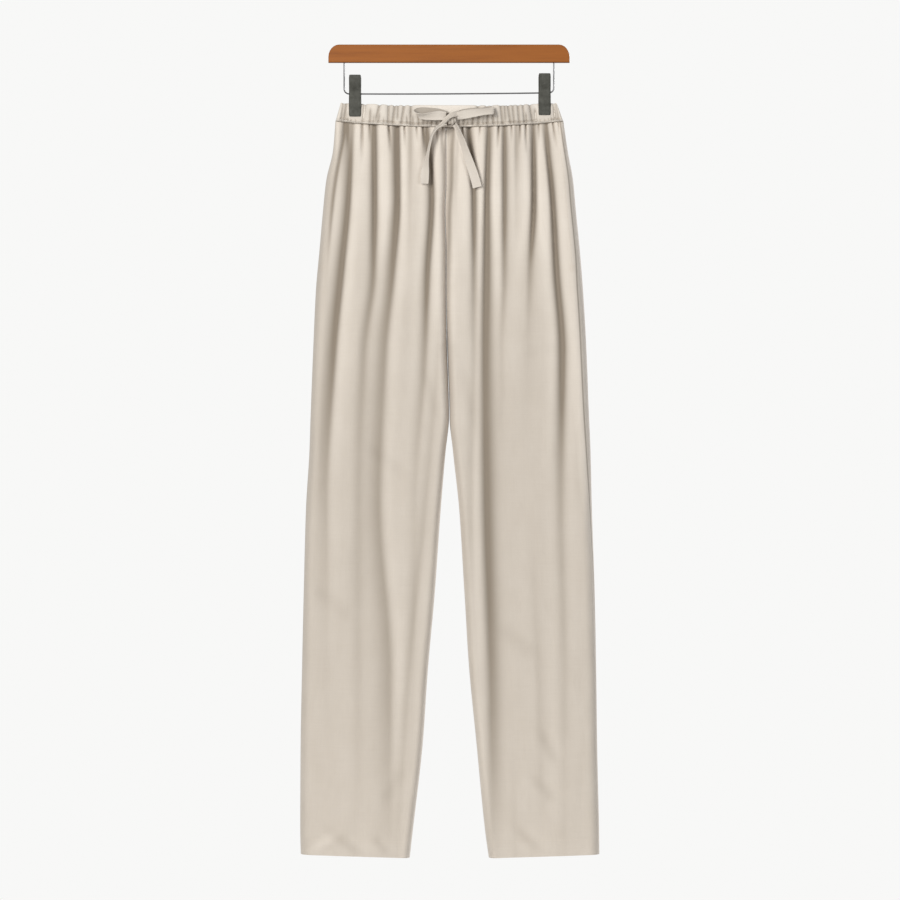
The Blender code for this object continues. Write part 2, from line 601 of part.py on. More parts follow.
def add_hanger_wire():
    """Steel wire: down from the bar, round a small corner, and along under it to the other side."""
    end = WIRE_HALF_SPAN - WIRE_CORNER
    points = []
    for sign in (1, -1):
        side = [(sign * WIRE_HALF_SPAN, -BAR_HEIGHT + WIRE_LET_IN)]
        side.append((sign * WIRE_HALF_SPAN, -BAR_HEIGHT - WIRE_CORNER))
        for step in range(WIRE_CORNER_STEPS + 1):
            angle = (math.pi / 2) * step / WIRE_CORNER_STEPS
            x = sign * (WIRE_HALF_SPAN - WIRE_CORNER * (1.0 - math.cos(angle)))
            side.append((x, wire_height(sign * end) + WIRE_CORNER * (1.0 - math.sin(angle))))
        for x in np.linspace(sign * end, 0.0, WIRE_RUN_STEPS + 1)[1:-1]:
            side.append((float(x), float(wire_height(x))))
        points += side if sign > 0 else [(0.0, wire_height(0.0))] + side[::-1]
    curve = bpy.data.curves.new("hanger_wire", "CURVE")
    curve.dimensions = "3D"
    curve.bevel_depth = WIRE_DIAMETER / 2
    curve.bevel_resolution = 2
    curve.use_fill_caps = True
    spline = curve.splines.new("POLY")
    spline.points.add(len(points) - 1)
    for point, (x, z) in zip(spline.points, points):
        point.co = (x, 0.0, z, 1.0)
    wire = bpy.data.objects.new("hanger_wire", curve)
    bpy.context.scene.collection.objects.link(wire)
    finish_material(wire, "steel")


def add_clip_plate(clip, face):
    """Bent sheet: a lever above the spring and a jaw below it."""
    facing = FACING[face]
    top = CLIP_TOPS[clip]
    centre = CLIP_CENTRES[clip]
    outside = [Vector((out * MM, top - drop * MM)) for out, drop in CLIP_PROFILE]
    inside = []
    for index, point in enumerate(outside):
        travel = outside[min(index + 1, len(outside) - 1)] - outside[max(index - 1, 0)]
        inside.append(point - Vector((-travel.y, travel.x)).normalized() * CLIP_SHEET)
    bm = bmesh.new()
    sides = []
    for edge in (-1, 1):
        x = centre + edge * CLIP_WIDTH / 2
        sides.append([[bm.verts.new((x, facing * y, z)) for y, z in line] for line in (outside, inside)])
    (left_out, left_in), (right_out, right_in) = sides
    for k in range(len(outside) - 1):
        bm.faces.new((left_out[k], left_out[k + 1], right_out[k + 1], right_out[k]))
        bm.faces.new((left_in[k], right_in[k], right_in[k + 1], left_in[k + 1]))
        bm.faces.new((left_out[k], left_in[k], left_in[k + 1], left_out[k + 1]))
        bm.faces.new((right_out[k], right_out[k + 1], right_in[k + 1], right_in[k]))
    for k in (0, -1):
        bm.faces.new((left_out[k], right_out[k], right_in[k], left_in[k]))
    add_part("clip_" + clip + "_" + face, bm, "clip")


def add_clip_spring(clip):
    """Spring barrel that the wire runs through, between the two plates."""
    centre = CLIP_CENTRES[clip]
    bm = bmesh.new()
    rings = []
    for radius, end in ((SPRING_RADIUS, -1), (SPRING_RADIUS, 1), (SPRING_BORE, 1), (SPRING_BORE, -1)):
        ring = []
        for step in range(SPRING_SIDES):
            angle = 2 * math.pi * step / SPRING_SIDES
            x = centre + end * SPRING_LENGTH / 2
            place = (x, radius * math.cos(angle), wire_height(centre) + radius * math.sin(angle))
            ring.append(bm.verts.new(place))
        rings.append(ring)
    for ring, following in zip(rings, rings[1:] + rings[:1]):
        for k in range(SPRING_SIDES):
            n = (k + 1) % SPRING_SIDES
            bm.faces.new((ring[k], ring[n], following[n], following[k]))
    add_part("clip_" + clip + "_spring", bm, "steel")


def main():
    clear_scene()
    add_hanger_bar()
    add_hanger_wire()
    for clip in CLIP_CENTRES:
        add_clip_plate(clip, "front")
        add_clip_plate(clip, "back")
        add_clip_spring(clip)
    garment = bpy.data.objects.new("garment", None)
    bpy.context.scene.collection.objects.link(garment)
    garment.location.x = GARMENT_OFFSET
    for face in FACING:
        add_waistband(face, garment)
        for leg in SIDE_SIGN:
            add_leg_panel(leg, face, garment)
    for leg in SIDE_SIGN:
        add_pocket_bag(leg, garment)
    add_knot(garment)
    for name, rows in TIE_LOOPS.items():
        add_tape(name, rows, True, garment)
    for name, rows in TIE_TAILS.items():
        add_tape(name, rows, False, garment)


main()
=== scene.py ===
"""Linen drawstring trousers hanging from a wooden clip hanger.

Metres, +Z up, front of the garment towards -Y, origin at the middle of the hanger bar's top.
"""
import math

import bmesh
import bpy
import numpy as np
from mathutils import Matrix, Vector


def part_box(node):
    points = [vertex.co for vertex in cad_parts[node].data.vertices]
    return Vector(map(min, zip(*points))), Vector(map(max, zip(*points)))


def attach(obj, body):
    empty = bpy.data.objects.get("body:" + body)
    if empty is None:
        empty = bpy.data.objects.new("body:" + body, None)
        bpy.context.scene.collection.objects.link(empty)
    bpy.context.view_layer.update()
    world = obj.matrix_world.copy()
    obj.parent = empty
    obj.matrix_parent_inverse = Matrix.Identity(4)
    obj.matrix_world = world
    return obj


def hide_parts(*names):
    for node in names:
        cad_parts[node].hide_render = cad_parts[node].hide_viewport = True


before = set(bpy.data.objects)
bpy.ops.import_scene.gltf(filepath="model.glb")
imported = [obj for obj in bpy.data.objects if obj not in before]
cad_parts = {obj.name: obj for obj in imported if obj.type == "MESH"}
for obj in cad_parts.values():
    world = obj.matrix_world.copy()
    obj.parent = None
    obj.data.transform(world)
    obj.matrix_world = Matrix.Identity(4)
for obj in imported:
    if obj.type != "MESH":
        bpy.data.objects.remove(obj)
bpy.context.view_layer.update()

# ---------------------------------------------------------------------------
# Camera, light and floor
# A long lens looks straight at the front, level with the thighs. A large softbox stands up to the
# left and a weaker one to the right. The floor is a pale disc below the hems that fades at its rim.
# ---------------------------------------------------------------------------
GARMENT_X = 0.0014
LOOK_AT = Vector((GARMENT_X, -0.010, -0.568))
CAMERA_DISTANCE = 7.0
VIEW_WIDTH = 1.26
SENSOR = 36.0
LIGHT_AIM = Vector((0.0, 0.0, -0.5))
AMBIENT = 0.27
BACKDROP = (0.938, 0.938, 0.930, 1.0)


def add_object(name, data, place=(0.0, 0.0, 0.0)):
    """Puts a mesh, lamp or camera into the scene under its name."""
    made = bpy.data.objects.new(name, data)
    made.location = place
    bpy.context.scene.collection.objects.link(made)
    return made


def set_inputs(tree, node, inputs):
    """Links each named or numbered input to a socket, or sets it to a plain value."""
    for slot, value in dict(inputs).items():
        if isinstance(value, bpy.types.NodeSocket):
            tree.links.new(value, node.inputs[slot])
        else:
            node.inputs[slot].default_value = value


def add_node(tree, kind, inputs=(), **options):
    """Adds a node, sets its options and then fills its inputs."""
    node = tree.nodes.new(kind)
    for option, value in options.items():
        setattr(node, option, value)
    set_inputs(tree, node, inputs)
    return node


def new_finish(name):
    """A material, its node tree and its shader."""
    material = bpy.data.materials.new(name)
    material.use_nodes = True
    return material, material.node_tree, material.node_tree.nodes["Principled BSDF"]


def add_softbox(name, place, width, height, power, tint):
    light = bpy.data.lights.new(name, "AREA")
    light.shape = "RECTANGLE"
    light.size = width
    light.size_y = height
    light.energy = power
    light.color = tint
    lamp = add_object(name, light, place)
    lamp.rotation_euler = (LIGHT_AIM - Vector(place)).to_track_quat("-Z", "Y").to_euler()


camera_data = bpy.data.cameras.new("camera")
camera_data.sensor_width = SENSOR
camera_data.lens = SENSOR * CAMERA_DISTANCE / VIEW_WIDTH
camera = add_object("camera", camera_data, LOOK_AT - Vector((0.0, CAMERA_DISTANCE, 0.0)))
camera.rotation_euler = (math.pi / 2, 0.0, 0.0)
bpy.context.scene.camera = camera
bpy.context.scene.view_settings.view_transform = "Standard"
bpy.context.scene.view_settings.look = "None"

add_softbox("key_softbox", (-1.5, -3.3, 0.55), 1.1, 1.8, 114.0, (1.0, 0.99, 0.97))
add_softbox("fill_softbox", (2.3, -2.7, -0.3), 1.2, 2.0, 30.0, (0.97, 0.985, 1.0))
add_softbox("back_softbox", (1.8, 2.6, 0.5), 1.4, 1.8, 110.0, (1.0, 0.99, 0.98))

world = bpy.data.worlds.new("pale_studio")
world.use_nodes = True
bpy.context.scene.world = world
tree = world.node_tree
tree.nodes.clear()
ambient = add_node(tree, "ShaderNodeBackground", {"Color": (1.0, 1.0, 1.0, 1.0), "Strength": AMBIENT})
backdrop = add_node(tree, "ShaderNodeBackground", {"Color": BACKDROP, "Strength": 1.0})
camera_ray = add_node(tree, "ShaderNodeLightPath")
world_choice = add_node(tree, "ShaderNodeMixShader", {
    "Fac": camera_ray.outputs["Is Camera Ray"], 1: ambient.outputs[0], 2: backdrop.outputs[0]})
add_node(tree, "ShaderNodeOutputWorld", {"Surface": world_choice.outputs[0]})

FLOOR_Z = -1.42
FLOOR_RADIUS = 1.3
FLOOR_FADE_START = 0.35
FLOOR_FADE_END = 0.98

floor_mesh = bmesh.new()
bmesh.ops.create_circle(floor_mesh, cap_ends=True, segments=96, radius=FLOOR_RADIUS)
bmesh.ops.translate(floor_mesh, verts=floor_mesh.verts, vec=(0.0, 0.0, FLOOR_Z))
floor_data = bpy.data.meshes.new("floor")
floor_mesh.to_mesh(floor_data)
floor_mesh.free()
floor = add_object("floor", floor_data)
floor_paint, tree, shader = new_finish("pale_floor")
floor_place = add_node(tree, "ShaderNodeTexCoord")
floor_centre = add_node(tree, "ShaderNodeMapping", {
    "Vector": floor_place.outputs["Object"], "Location": (0.0, 0.0, -FLOOR_Z)})
floor_reach = add_node(tree, "ShaderNodeVectorMath", {0: floor_centre.outputs["Vector"]}, operation="LENGTH")
floor_fade = add_node(tree, "ShaderNodeMapRange", {
    "Value": floor_reach.outputs["Value"], "From Min": FLOOR_FADE_START * FLOOR_RADIUS,
    "From Max": FLOOR_FADE_END * FLOOR_RADIUS, "To Min": 1.0, "To Max": 0.0}, interpolation_type="SMOOTHSTEP")
set_inputs(tree, shader, {
    "Base Color": (0.86, 0.86, 0.85, 1.0), "Roughness": 0.8, "Alpha": floor_fade.outputs["Result"]})
floor_data.materials.append(floor_paint)

# ---------------------------------------------------------------------------
# Drawstring
# A flat tie of the trousers' own linen, sewn as a narrow tube and pressed. It comes out of the
# casing at the centre front and is tied in a flat bow: two loops, a knot and two hanging ends.
# ---------------------------------------------------------------------------
MM = 0.001
TIE_WIDTH = 0.013
TIE_CLOTH = 0.0018
TIE_SAMPLES = 6
# Route points: x, y, z in millimetres from the garment's middle, the turn of the width about the
# route in degrees, and the share of the tie's width that is left where it is scrunched.
# At a turn of 0 a loop's width is upright and a tail's lies flat across the front.
TIE_ROUTES = {
    "drawstring_loop_left": (
        (-5.5, -18.6, -99.6, 0, 0.85), (-16, -18.0, -97.2, 0, 1.0), (-28, -17.8, -95.8, 0, 1.0),
        (-38, -18.0, -95.2, 6, 1.0), (-43.6, -18.9, -95.6, 18, 1.0), (-46.0, -21.3, -97.4, 40, 1.0),
        (-44.2, -24.0, -99.8, 58, 0.9), (-38, -25.2, -101.2, 50, 0.85), (-28, -25.4, -101.2, 26, 0.9),
        (-16, -25.0, -100.8, 6, 1.0), (-5.8, -24.0, -101.0, 0, 0.85),
    ),
    "drawstring_loop_right": (
        (9.4, -18.6, -100.2, 0, 0.85), (20, -18.0, -97.6, -6, 1.0), (34, -17.8, -95.4, -24, 1.0),
        (48, -18.0, -94.0, -40, 1.0), (57.4, -19.0, -93.4, -30, 0.95), (60.2, -21.2, -93.4, 0, 0.9),
        (58.0, -23.4, -93.6, 30, 0.95), (48, -24.4, -94.8, 40, 1.0), (34, -24.8, -96.8, 24, 1.0),
        (20, -24.8, -99.2, 6, 1.0), (9.8, -24.0, -101.0, 0, 0.85),
    ),
    "drawstring_tail_left": (
        (-6.0, -23.0, -112.0, 60, 0.8), (-11, -23.8, -114.2, 66, 0.85), (-17, -24.4, -117.6, 72, 0.9),
        (-22, -24.8, -123.0, 76, 1.0), (-25.4, -25.4, -130, 78, 1.0), (-28.4, -26.4, -142, 78, 1.0),
        (-31, -27.2, -155, 74, 1.0), (-33.2, -27.4, -167, 56, 1.0), (-34.6, -27.0, -178, 30, 1.0),
        (-35.2, -26.4, -188, 14, 0.95), (-35.4, -26.0, -196, 8, 0.85),
    ),
    "drawstring_tail_right": (
        (7.2, -22.8, -112.4, 58, 0.7), (10.6, -23.6, -118, 60, 0.8), (14.0, -24.2, -126, 58, 0.9),
        (17.4, -25.0, -136, 54, 1.0), (21.0, -25.8, -147, 46, 1.0), (25.0, -26.4, -159, 34, 1.0),
        (29.2, -26.4, -171, 22, 1.0), (33.2, -26.0, -183, 14, 1.0), (36.2, -25.8, -193, 10, 1.0),
        (38.2, -25.8, -201, 8, 1.0),
    ),
}


def smooth_route(points, samples):
    """Points along a Catmull-Rom curve through the route's own points."""
    padded = [points[0] * 2 - points[1]] + list(points) + [points[-1] * 2 - points[-2]]
    route = []
    for p0, p1, p2, p3 in zip(padded, padded[1:], padded[2:], padded[3:]):
        for step in range(samples):
            t = step / samples
            bend = (p0 * 2 - p1 * 5 + p2 * 4 - p3) * t ** 2 + (p1 * 3 - p0 - p2 * 3 + p3) * t ** 3
            route.append((p1 * 2 + (p2 - p0) * t + bend) * 0.5)
    return route + [points[-1]]


def new_tree(name, kind, inputs, outputs):
    """A node tree with named sockets, each of a kind and a first value, with its two end nodes."""
    tree = bpy.data.node_groups.new(name, kind)
    for way, sockets in (("INPUT", inputs), ("OUTPUT", outputs)):
        for label, (form, *value) in sockets.items():
            made = tree.interface.new_socket(name=label, in_out=way, socket_type="NodeSocket" + form)
            if value:
                made.default_value = value[0]
    return tree, tree.nodes.new("NodeGroupInput"), tree.nodes.new("NodeGroupOutput")


def math_node(tree, operation, *values):
    """The output of a Math node on sockets or plain numbers."""
    return add_node(tree, "ShaderNodeMath", enumerate(values), operation=operation).outputs[0]


def scaled(tree, value, share, base):
    """A value's share on top of a base."""
    return math_node(tree, "ADD", math_node(tree, "MULTIPLY", value, share), base)


def bump_node(tree, height, strength, distance):
    return add_node(tree, "ShaderNodeBump", {
        "Height": height, "Strength": strength, "Distance": distance}).outputs["Normal"]


def stretched_noise(tree, u, v, across, along, offset, detail):
    """Noise whose grains are 1/across metres wide and 1/along metres long."""
    place = add_node(tree, "ShaderNodeCombineXYZ", {
        0: math_node(tree, "MULTIPLY", u, across), 1: math_node(tree, "MULTIPLY", v, along), 2: offset})
    noise = add_node(tree, "ShaderNodeTexNoise", {"Vector": place.outputs[0], "Scale": 1.0, "Detail": detail})
    return noise.outputs["Fac"]


def build_linen_weave():
    """Plain weave with uneven threads: warp and weft slubs, soft mottling, and painted shade: the Fold value
    mixes the yarn towards the Fold Shade colour.
    """
    group, start, finish = new_tree(
        "linen_weave", "ShaderNodeTree",
        {"Cloth Map": ("Vector",), "Fold": ("Float", 0.0), "Thread": ("Float", 0.0006),
         "Slub": ("Float", 0.5), "Light Yarn": ("Color", (0.8, 0.74, 0.66, 1.0)),
         "Dark Yarn": ("Color", (0.6, 0.5, 0.4, 1.0)), "Fold Shade": ("Color", (0.6, 0.5, 0.4, 1.0))},
        {"Colour": ("Color",), "Roughness": ("Float",), "Height": ("Float",)},
    )
    given = start.outputs
    split = add_node(group, "ShaderNodeSeparateXYZ", {0: given["Cloth Map"]})
    u, v = split.outputs[0], split.outputs[1]
    pitch = math_node(group, "DIVIDE", math.pi, given["Thread"])
    wander = math_node(group, "MULTIPLY", stretched_noise(group, u, v, 120.0, 120.0, 7.0, 1.0), 2.6)
    warp, weft = (math_node(group, "SINE", scaled(group, way, pitch, wander)) for way in (u, v))
    weave = math_node(group, "MULTIPLY", warp, weft)
    warp_slub = stretched_noise(group, u, v, 700.0, 22.0, 0.0, 2.0)
    weft_slub = stretched_noise(group, u, v, 26.0, 620.0, 3.0, 2.0)
    mottle = stretched_noise(group, u, v, 26.0, 17.0, 11.0, 3.0)
    slub = math_node(group, "SUBTRACT", math_node(group, "ADD", warp_slub, weft_slub), 1.0)
    slub = math_node(group, "MULTIPLY", slub, given["Slub"])
    cloud = math_node(group, "MULTIPLY", math_node(group, "SUBTRACT", mottle, 0.5), 0.55)
    tone = math_node(group, "ADD", math_node(group, "ADD", slub, cloud), scaled(group, weave, 0.10, 0.62))
    yarn = add_node(group, "ShaderNodeMix", data_type="RGBA")
    set_inputs(group, yarn, {"Factor": tone, "A": given["Dark Yarn"], "B": given["Light Yarn"]})
    shade = add_node(group, "ShaderNodeMix", data_type="RGBA")
    set_inputs(group, shade, {"Factor": given["Fold"], "A": yarn.outputs["Result"], "B": given["Fold Shade"]})
    threads = math_node(group, "MULTIPLY", weave, 0.35)
    set_inputs(group, finish, {
        "Colour": shade.outputs["Result"], "Roughness": scaled(group, slub, 0.2, 0.86),
        "Height": scaled(group, slub, 1.4, threads)})
    return group


linen_weave = build_linen_weave()
LINEN_RELIEF = 0.0003


def linen_material(name, light_yarn, dark_yarn, fold_shade, thread, slub, bump):
    """Matte linen on the piece's own cloth map, with a faint fibre sheen."""
    material, tree, shader = new_finish(name)
    cloth_map = add_node(tree, "ShaderNodeUVMap", uv_map="cloth_map")
    # Painted shade: the piece's per-point shade attribute feeds the weave's Fold input.
    fold = add_node(tree, "ShaderNodeAttribute", attribute_name="fold")
    weave = add_node(tree, "ShaderNodeGroup", {
        "Cloth Map": cloth_map.outputs["UV"], "Fold": fold.outputs["Fac"], "Thread": thread, "Slub": slub,
        "Light Yarn": (*light_yarn, 1.0), "Dark Yarn": (*dark_yarn, 1.0), "Fold Shade": (*fold_shade, 1.0),
    }, node_tree=linen_weave)
    set_inputs(tree, shader, {
        "Base Color": weave.outputs["Colour"], "Roughness": weave.outputs["Roughness"],
        "Normal": bump_node(tree, weave.outputs["Height"], bump, LINEN_RELIEF),
        "Sheen Weight": 0.18, "Sheen Roughness": 0.6, "Specular IOR Level": 0.25})
    return material


MERGE_DISTANCE = 1e-6
SHARP_ANGLE = math.radians(55)
# Light and dark yarn colours, then the painted shade colour for the loops' insides, scrunches and knot
# creases.
TIE_YARNS_AND_SHADE = ((0.675, 0.620, 0.555), (0.56, 0.50, 0.43), (0.28, 0.24, 0.19))
tie_linen = linen_material("tie_linen", *TIE_YARNS_AND_SHADE, thread=0.0006, slub=0.5, bump=0.6)


def mesh_piece(name, points, faces, cloth_map, fold, material):
    """Named mesh object with its cloth map in metres and a painted shade value at each point."""
    mesh = bpy.data.meshes.new(name)
    mesh.from_pydata(points, [], faces)
    corners = np.zeros(len(mesh.loops), dtype=np.int32)
    mesh.loops.foreach_get("vertex_index", corners)
    layer = mesh.uv_layers.new(name="cloth_map")
    layer.data.foreach_set("uv", np.asarray(cloth_map, dtype=np.float32)[corners].ravel())
    values = mesh.attributes.new("fold", "FLOAT", "POINT")
    values.data.foreach_set("value", np.asarray(fold, dtype=np.float32).ravel())
    tidy = bmesh.new()
    tidy.from_mesh(mesh)
    bmesh.ops.remove_doubles(tidy, verts=tidy.verts, dist=MERGE_DISTANCE)
    bmesh.ops.recalc_face_normals(tidy, faces=tidy.faces)
    tidy.to_mesh(mesh)
    tidy.free()
    mesh.shade_smooth()
    mesh.set_sharp_from_angle(angle=SHARP_ANGLE)
    mesh.materials.append(material)
    return add_object(name, mesh)


def grid_faces(rows, columns, round_rows=False, round_columns=False):
    """Four-cornered faces of a grid of points, closed round on itself where asked."""
    r, c = np.meshgrid(
        np.arange(rows - (not round_rows)), np.arange(columns - (not round_columns)), indexing="ij")
    here, below, right = r * columns, (r + 1) % rows * columns, (c + 1) % columns
    corners = (here + c, here + right, below + right, below + c)
    return np.stack(corners, axis=-1).reshape(-1, 4)


TIE_PROFILE_STEPS = 10
TIE_CUP = 0.0005
TIE_SCRUNCH_CUP = 0.0022
TIE_SCRUNCH_RIDGE = 0.00045
TIE_CUP_FLAT = 0.35
TIE_RIDGES = 7.0
TIE_SCRUNCH_SWELL = 0.5
TIE_SCRUNCH_SHADE = 0.3
TIE_EDGE_ROUND = 0.75
TIE_INSIDE_SHADE = 0.6


def tie_profile():
    """Outline of the pressed tube's section: shares of its half width and half thickness."""
    outline = []
    for side in (1, -1):
        for step in range(TIE_PROFILE_STEPS):
            angle = math.pi * step / TIE_PROFILE_STEPS
            reach = side * math.cos(angle)
            swell = math.sin(angle) ** 0.5 * side
            outline.append((math.copysign(abs(reach) ** TIE_EDGE_ROUND, reach), swell))
    return outline


def sweep_tie(rows, upright):
    """Skin of the pressed tube swept along a route: points, faces, cloth map, painted shade, centre line."""
    route = smooth_route([Vector(row) for row in rows], TIE_SAMPLES)
    centres = [Vector(point[:3]) * MM + Vector((GARMENT_X, 0.0, 0.0)) for point in route]
    profile = tie_profile()
    points, cloth_map, fold = [], [], []
    travelled = 0.0
    inward = sum(centres, Vector()) / len(centres)
    for index, centre in enumerate(centres):
        ahead = centres[min(index + 1, len(centres) - 1)]
        behind = centres[max(index - 1, 0)]
        travel = (ahead - behind).normalized()
        base = Vector((0.0, 0.0, 1.0)) if upright else travel.cross(Vector((0.0, 1.0, 0.0)))
        base = (base - travel * base.dot(travel)).normalized()
        turn = math.radians(route[index][3])
        across = base * math.cos(turn) + travel.cross(base) * math.sin(turn)
        out = travel.cross(across)
        share = min(route[index][4], 1.0)
        scrunch = math.sqrt(max(1.0 - share * share, 0.0))
        if index:
            travelled += (centre - centres[index - 1]).length
        for reach, swell in profile:
            cup = (TIE_CUP + TIE_SCRUNCH_CUP * scrunch) * (reach * reach - TIE_CUP_FLAT)
            ridge = TIE_SCRUNCH_RIDGE * scrunch * math.cos(reach * TIE_RIDGES)
            place = centre + across * (reach * share * TIE_WIDTH / 2)
            place += out * (swell * TIE_CLOTH / 2 * (1.0 + TIE_SCRUNCH_SWELL * scrunch) + cup + ridge)
            points.append(place)
            cloth_map.append((reach * TIE_WIDTH / 2, travelled))
            # Painted shade: on the faces of a loop that look into it, and across scrunched stretches.
            hidden_shade = TIE_INSIDE_SHADE * upright * (out.dot(inward - centre) * swell > 0.0)
            fold.append(max(TIE_SCRUNCH_SHADE * scrunch * (1.0 - abs(reach)), hidden_shade))
    around = len(profile)
    faces = grid_faces(len(centres), around, round_columns=True).tolist()
    faces.append(list(range(around))[::-1])
    faces.append(list(range((len(centres) - 1) * around, len(centres) * around)))
    return points, faces, cloth_map, fold, centres


for tie_name, tie_rows in TIE_ROUTES.items():
    *tie_skin, tie_line = sweep_tie(tie_rows, "loop" in tie_name)
    tie_piece = mesh_piece(tie_name + "_cloth", *tie_skin, tie_linen)
    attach(tie_piece, "root")
    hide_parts(tie_name)

# The knot is the same tie wrapped once round the middle of the bow and pulled tight: a scrunched
# body under one strand that crosses it from the right loop and leaves as the left end.
KNOT_CENTRE = Vector((0.0020 + GARMENT_X, -0.0205, -0.1068))
KNOT_RADII = (0.0072, 0.0056, 0.0070)
KNOT_SEGMENTS = 64
KNOT_RINGS = 40
KNOT_CREASE = 0.0009
KNOT_CREASES = 7
KNOT_REACH = 0.006
# Painted shade on the knot: a least amount all over, and more along its creases.
KNOT_LEAST_SHADE = 0.25
KNOT_CREASE_SHADE = 0.45
KNOT_STRAND = (
    (11.5, -22.6, -98.2, 8, 0.62), (8.0, -25.4, -98.8, 14, 0.60), (3.0, -27.4, -100.8, 22, 0.56),
    (-2.0, -27.8, -104.2, 34, 0.54), (-6.0, -27.0, -108.4, 48, 0.56), (-9.6, -25.4, -112.4, 60, 0.66),
    (-13.6, -24.6, -115.6, 68, 0.78),
)

knot_points, knot_map, knot_painted_shade = [], [], []
for ring in range(KNOT_RINGS + 1):
    polar = math.pi * ring / KNOT_RINGS
    for segment in range(KNOT_SEGMENTS):
        angle = 2.0 * math.pi * segment / KNOT_SEGMENTS
        wrap = polar * KNOT_CREASES + 0.7 * math.sin(2.0 * angle) + 0.5 * math.sin(3.0 * angle + 1.0)
        crease = 1.0 - KNOT_CREASE / KNOT_RADII[0] * (1.0 + math.cos(wrap)) * math.sin(polar)
        around = (math.cos(polar), math.sin(polar) * math.cos(angle), math.sin(polar) * math.sin(angle))
        knot_points.append(KNOT_CENTRE + Vector([a * r * crease for a, r in zip(Vector(around), KNOT_RADII)]))
        knot_map.append((polar * KNOT_REACH, angle * KNOT_REACH))
        knot_painted_shade.append(KNOT_LEAST_SHADE + KNOT_CREASE_SHADE * max(math.cos(wrap), 0.0))
knot_faces = grid_faces(KNOT_RINGS + 1, KNOT_SEGMENTS, round_columns=True).tolist()
strand_points, strand_faces, strand_map, strand_painted_shade, _ = sweep_tie(KNOT_STRAND, False)
knot_faces += [[len(knot_points) + k for k in face] for face in strand_faces]
knot_points += strand_points
knot_map += strand_map
knot_painted_shade += strand_painted_shade
knot = mesh_piece("drawstring_knot_cloth", knot_points, knot_faces, knot_map, knot_painted_shade, tie_linen)
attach(knot, "root")
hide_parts("drawstring_knot")

# ---------------------------------------------------------------------------
# Hanger bar and wire
# The bar is a strip of hardwood with rounded shoulders, stained a warm honey brown and varnished.
# A bright steel wire is let into its underside and runs along under it to carry the clips.
# ---------------------------------------------------------------------------
WOOD_LIGHT = (0.325, 0.104, 0.015, 1.0)
WOOD_MIDDLE = (0.290, 0.090, 0.0125, 1.0)
WOOD_DARK = (0.235, 0.070, 0.0095, 1.0)
WOOD_GRAIN = (9.0, 120.0, 160.0)
WOOD_PORES = (60.0, 900.0, 1100.0)
STEEL_LIGHT = (0.27, 0.27, 0.275, 1.0)
STEEL_DARK = (0.17, 0.17, 0.175, 1.0)


def object_noise(tree, scale, detail, roughness=0.5):
    """Noise on Object coordinates, stretched by a scale for each axis."""
    place = add_node(tree, "ShaderNodeTexCoord")
    stretch = add_node(tree, "ShaderNodeMapping", {"Vector": place.outputs["Object"], "Scale": scale})
    noise = add_node(tree, "ShaderNodeTexNoise", {
        "Vector": stretch.outputs["Vector"], "Scale": 1.0, "Detail": detail, "Roughness": roughness})
    return noise.outputs["Fac"]


def ramp(tree, value, stops):
    """Colour ramp through pairs of place and colour."""
    node = tree.nodes.new("ShaderNodeValToRGB")
    marks = node.color_ramp.elements
    marks[0].position, marks[0].color = stops[0]
    marks[1].position, marks[1].color = stops[-1]
    for position, colour in stops[1:-1]:
        marks.new(position).color = colour
    tree.links.new(value, node.inputs["Fac"])
    return node.outputs["Color"]


wood, tree, shader = new_finish("varnished_wood")
grain = object_noise(tree, WOOD_GRAIN, 5.0, 0.62)
pores = object_noise(tree, WOOD_PORES, 2.0)
streak = scaled(tree, grain, 0.86, math_node(tree, "MULTIPLY", pores, 0.14))
set_inputs(tree, shader, {
    "Base Color": ramp(tree, streak, ((0.28, WOOD_DARK), (0.46, WOOD_MIDDLE), (0.70, WOOD_LIGHT))),
    "Roughness": scaled(tree, pores, 0.25, 0.40), "Normal": bump_node(tree, pores, 0.12, 0.0002),
    "Specular IOR Level": 0.2, "Coat Weight": 0.12, "Coat Roughness": 0.3})

steel, tree, shader = new_finish("drawn_steel")
drawn = object_noise(tree, (60.0, 1400.0, 1400.0), 2.0)
set_inputs(tree, shader, {
    "Base Color": ramp(tree, drawn, ((0.25, STEEL_DARK), (0.75, STEEL_LIGHT))),
    "Roughness": scaled(tree, drawn, 0.2, 0.4), "Metallic": 1.0})

for node_name, finish in (("hanger_bar", wood), ("hanger_wire", steel)):
    for finish_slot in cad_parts[node_name].material_slots:
        finish_slot.material = finish

# ---------------------------------------------------------------------------
# Trouser clips
# Two painted steel clips slide on the wire. Each is two bent plates, with turned-in edges, that
# pivot on the wire and are closed by a coiled spring between them.
# ---------------------------------------------------------------------------
CLIP_SHEET = 0.0013
LEVER_HALF = 0.0087
JAW_HALF = 0.0089
CLIP_EDGE_BEVEL = 0.0005
CLIP_FLANGE = 0.0022
CLIP_FLANGE_FROM = 0.86
CLIP_CROWN = 0.0004
CLIP_CORNER = 0.0005
CLIP_ACROSS = 13
# Outside of a plate in side view: distance out from the wire, drop below the clip's top (mm), and
# how far along the change from the lever's width to the jaw's it is.
CLIP_PROFILE = (
    (12.5, 0, 0.0), (10.0, 12, 0.0), (7.2, 18.5, 0.0), (5.7, 22, 0.0), (5.4, 26, 0.35), (5.7, 30, 0.9),
    (7.0, 34, 1.0), (7.6, 38, 1.0), (7.1, 43, 1.0), (5.8, 48.5, 1.0), (5.5, 58, 1.0),
)
CLIP_STEPS = 3
SPRING_WIRE = 0.0009
PAINT_DARK = (0.062, 0.062, 0.052, 1.0)
PAINT_MIDDLE = (0.088, 0.088, 0.076, 1.0)
PAINT_WORN = (0.12, 0.12, 0.11, 1.0)
SPRING_TURNS = 10

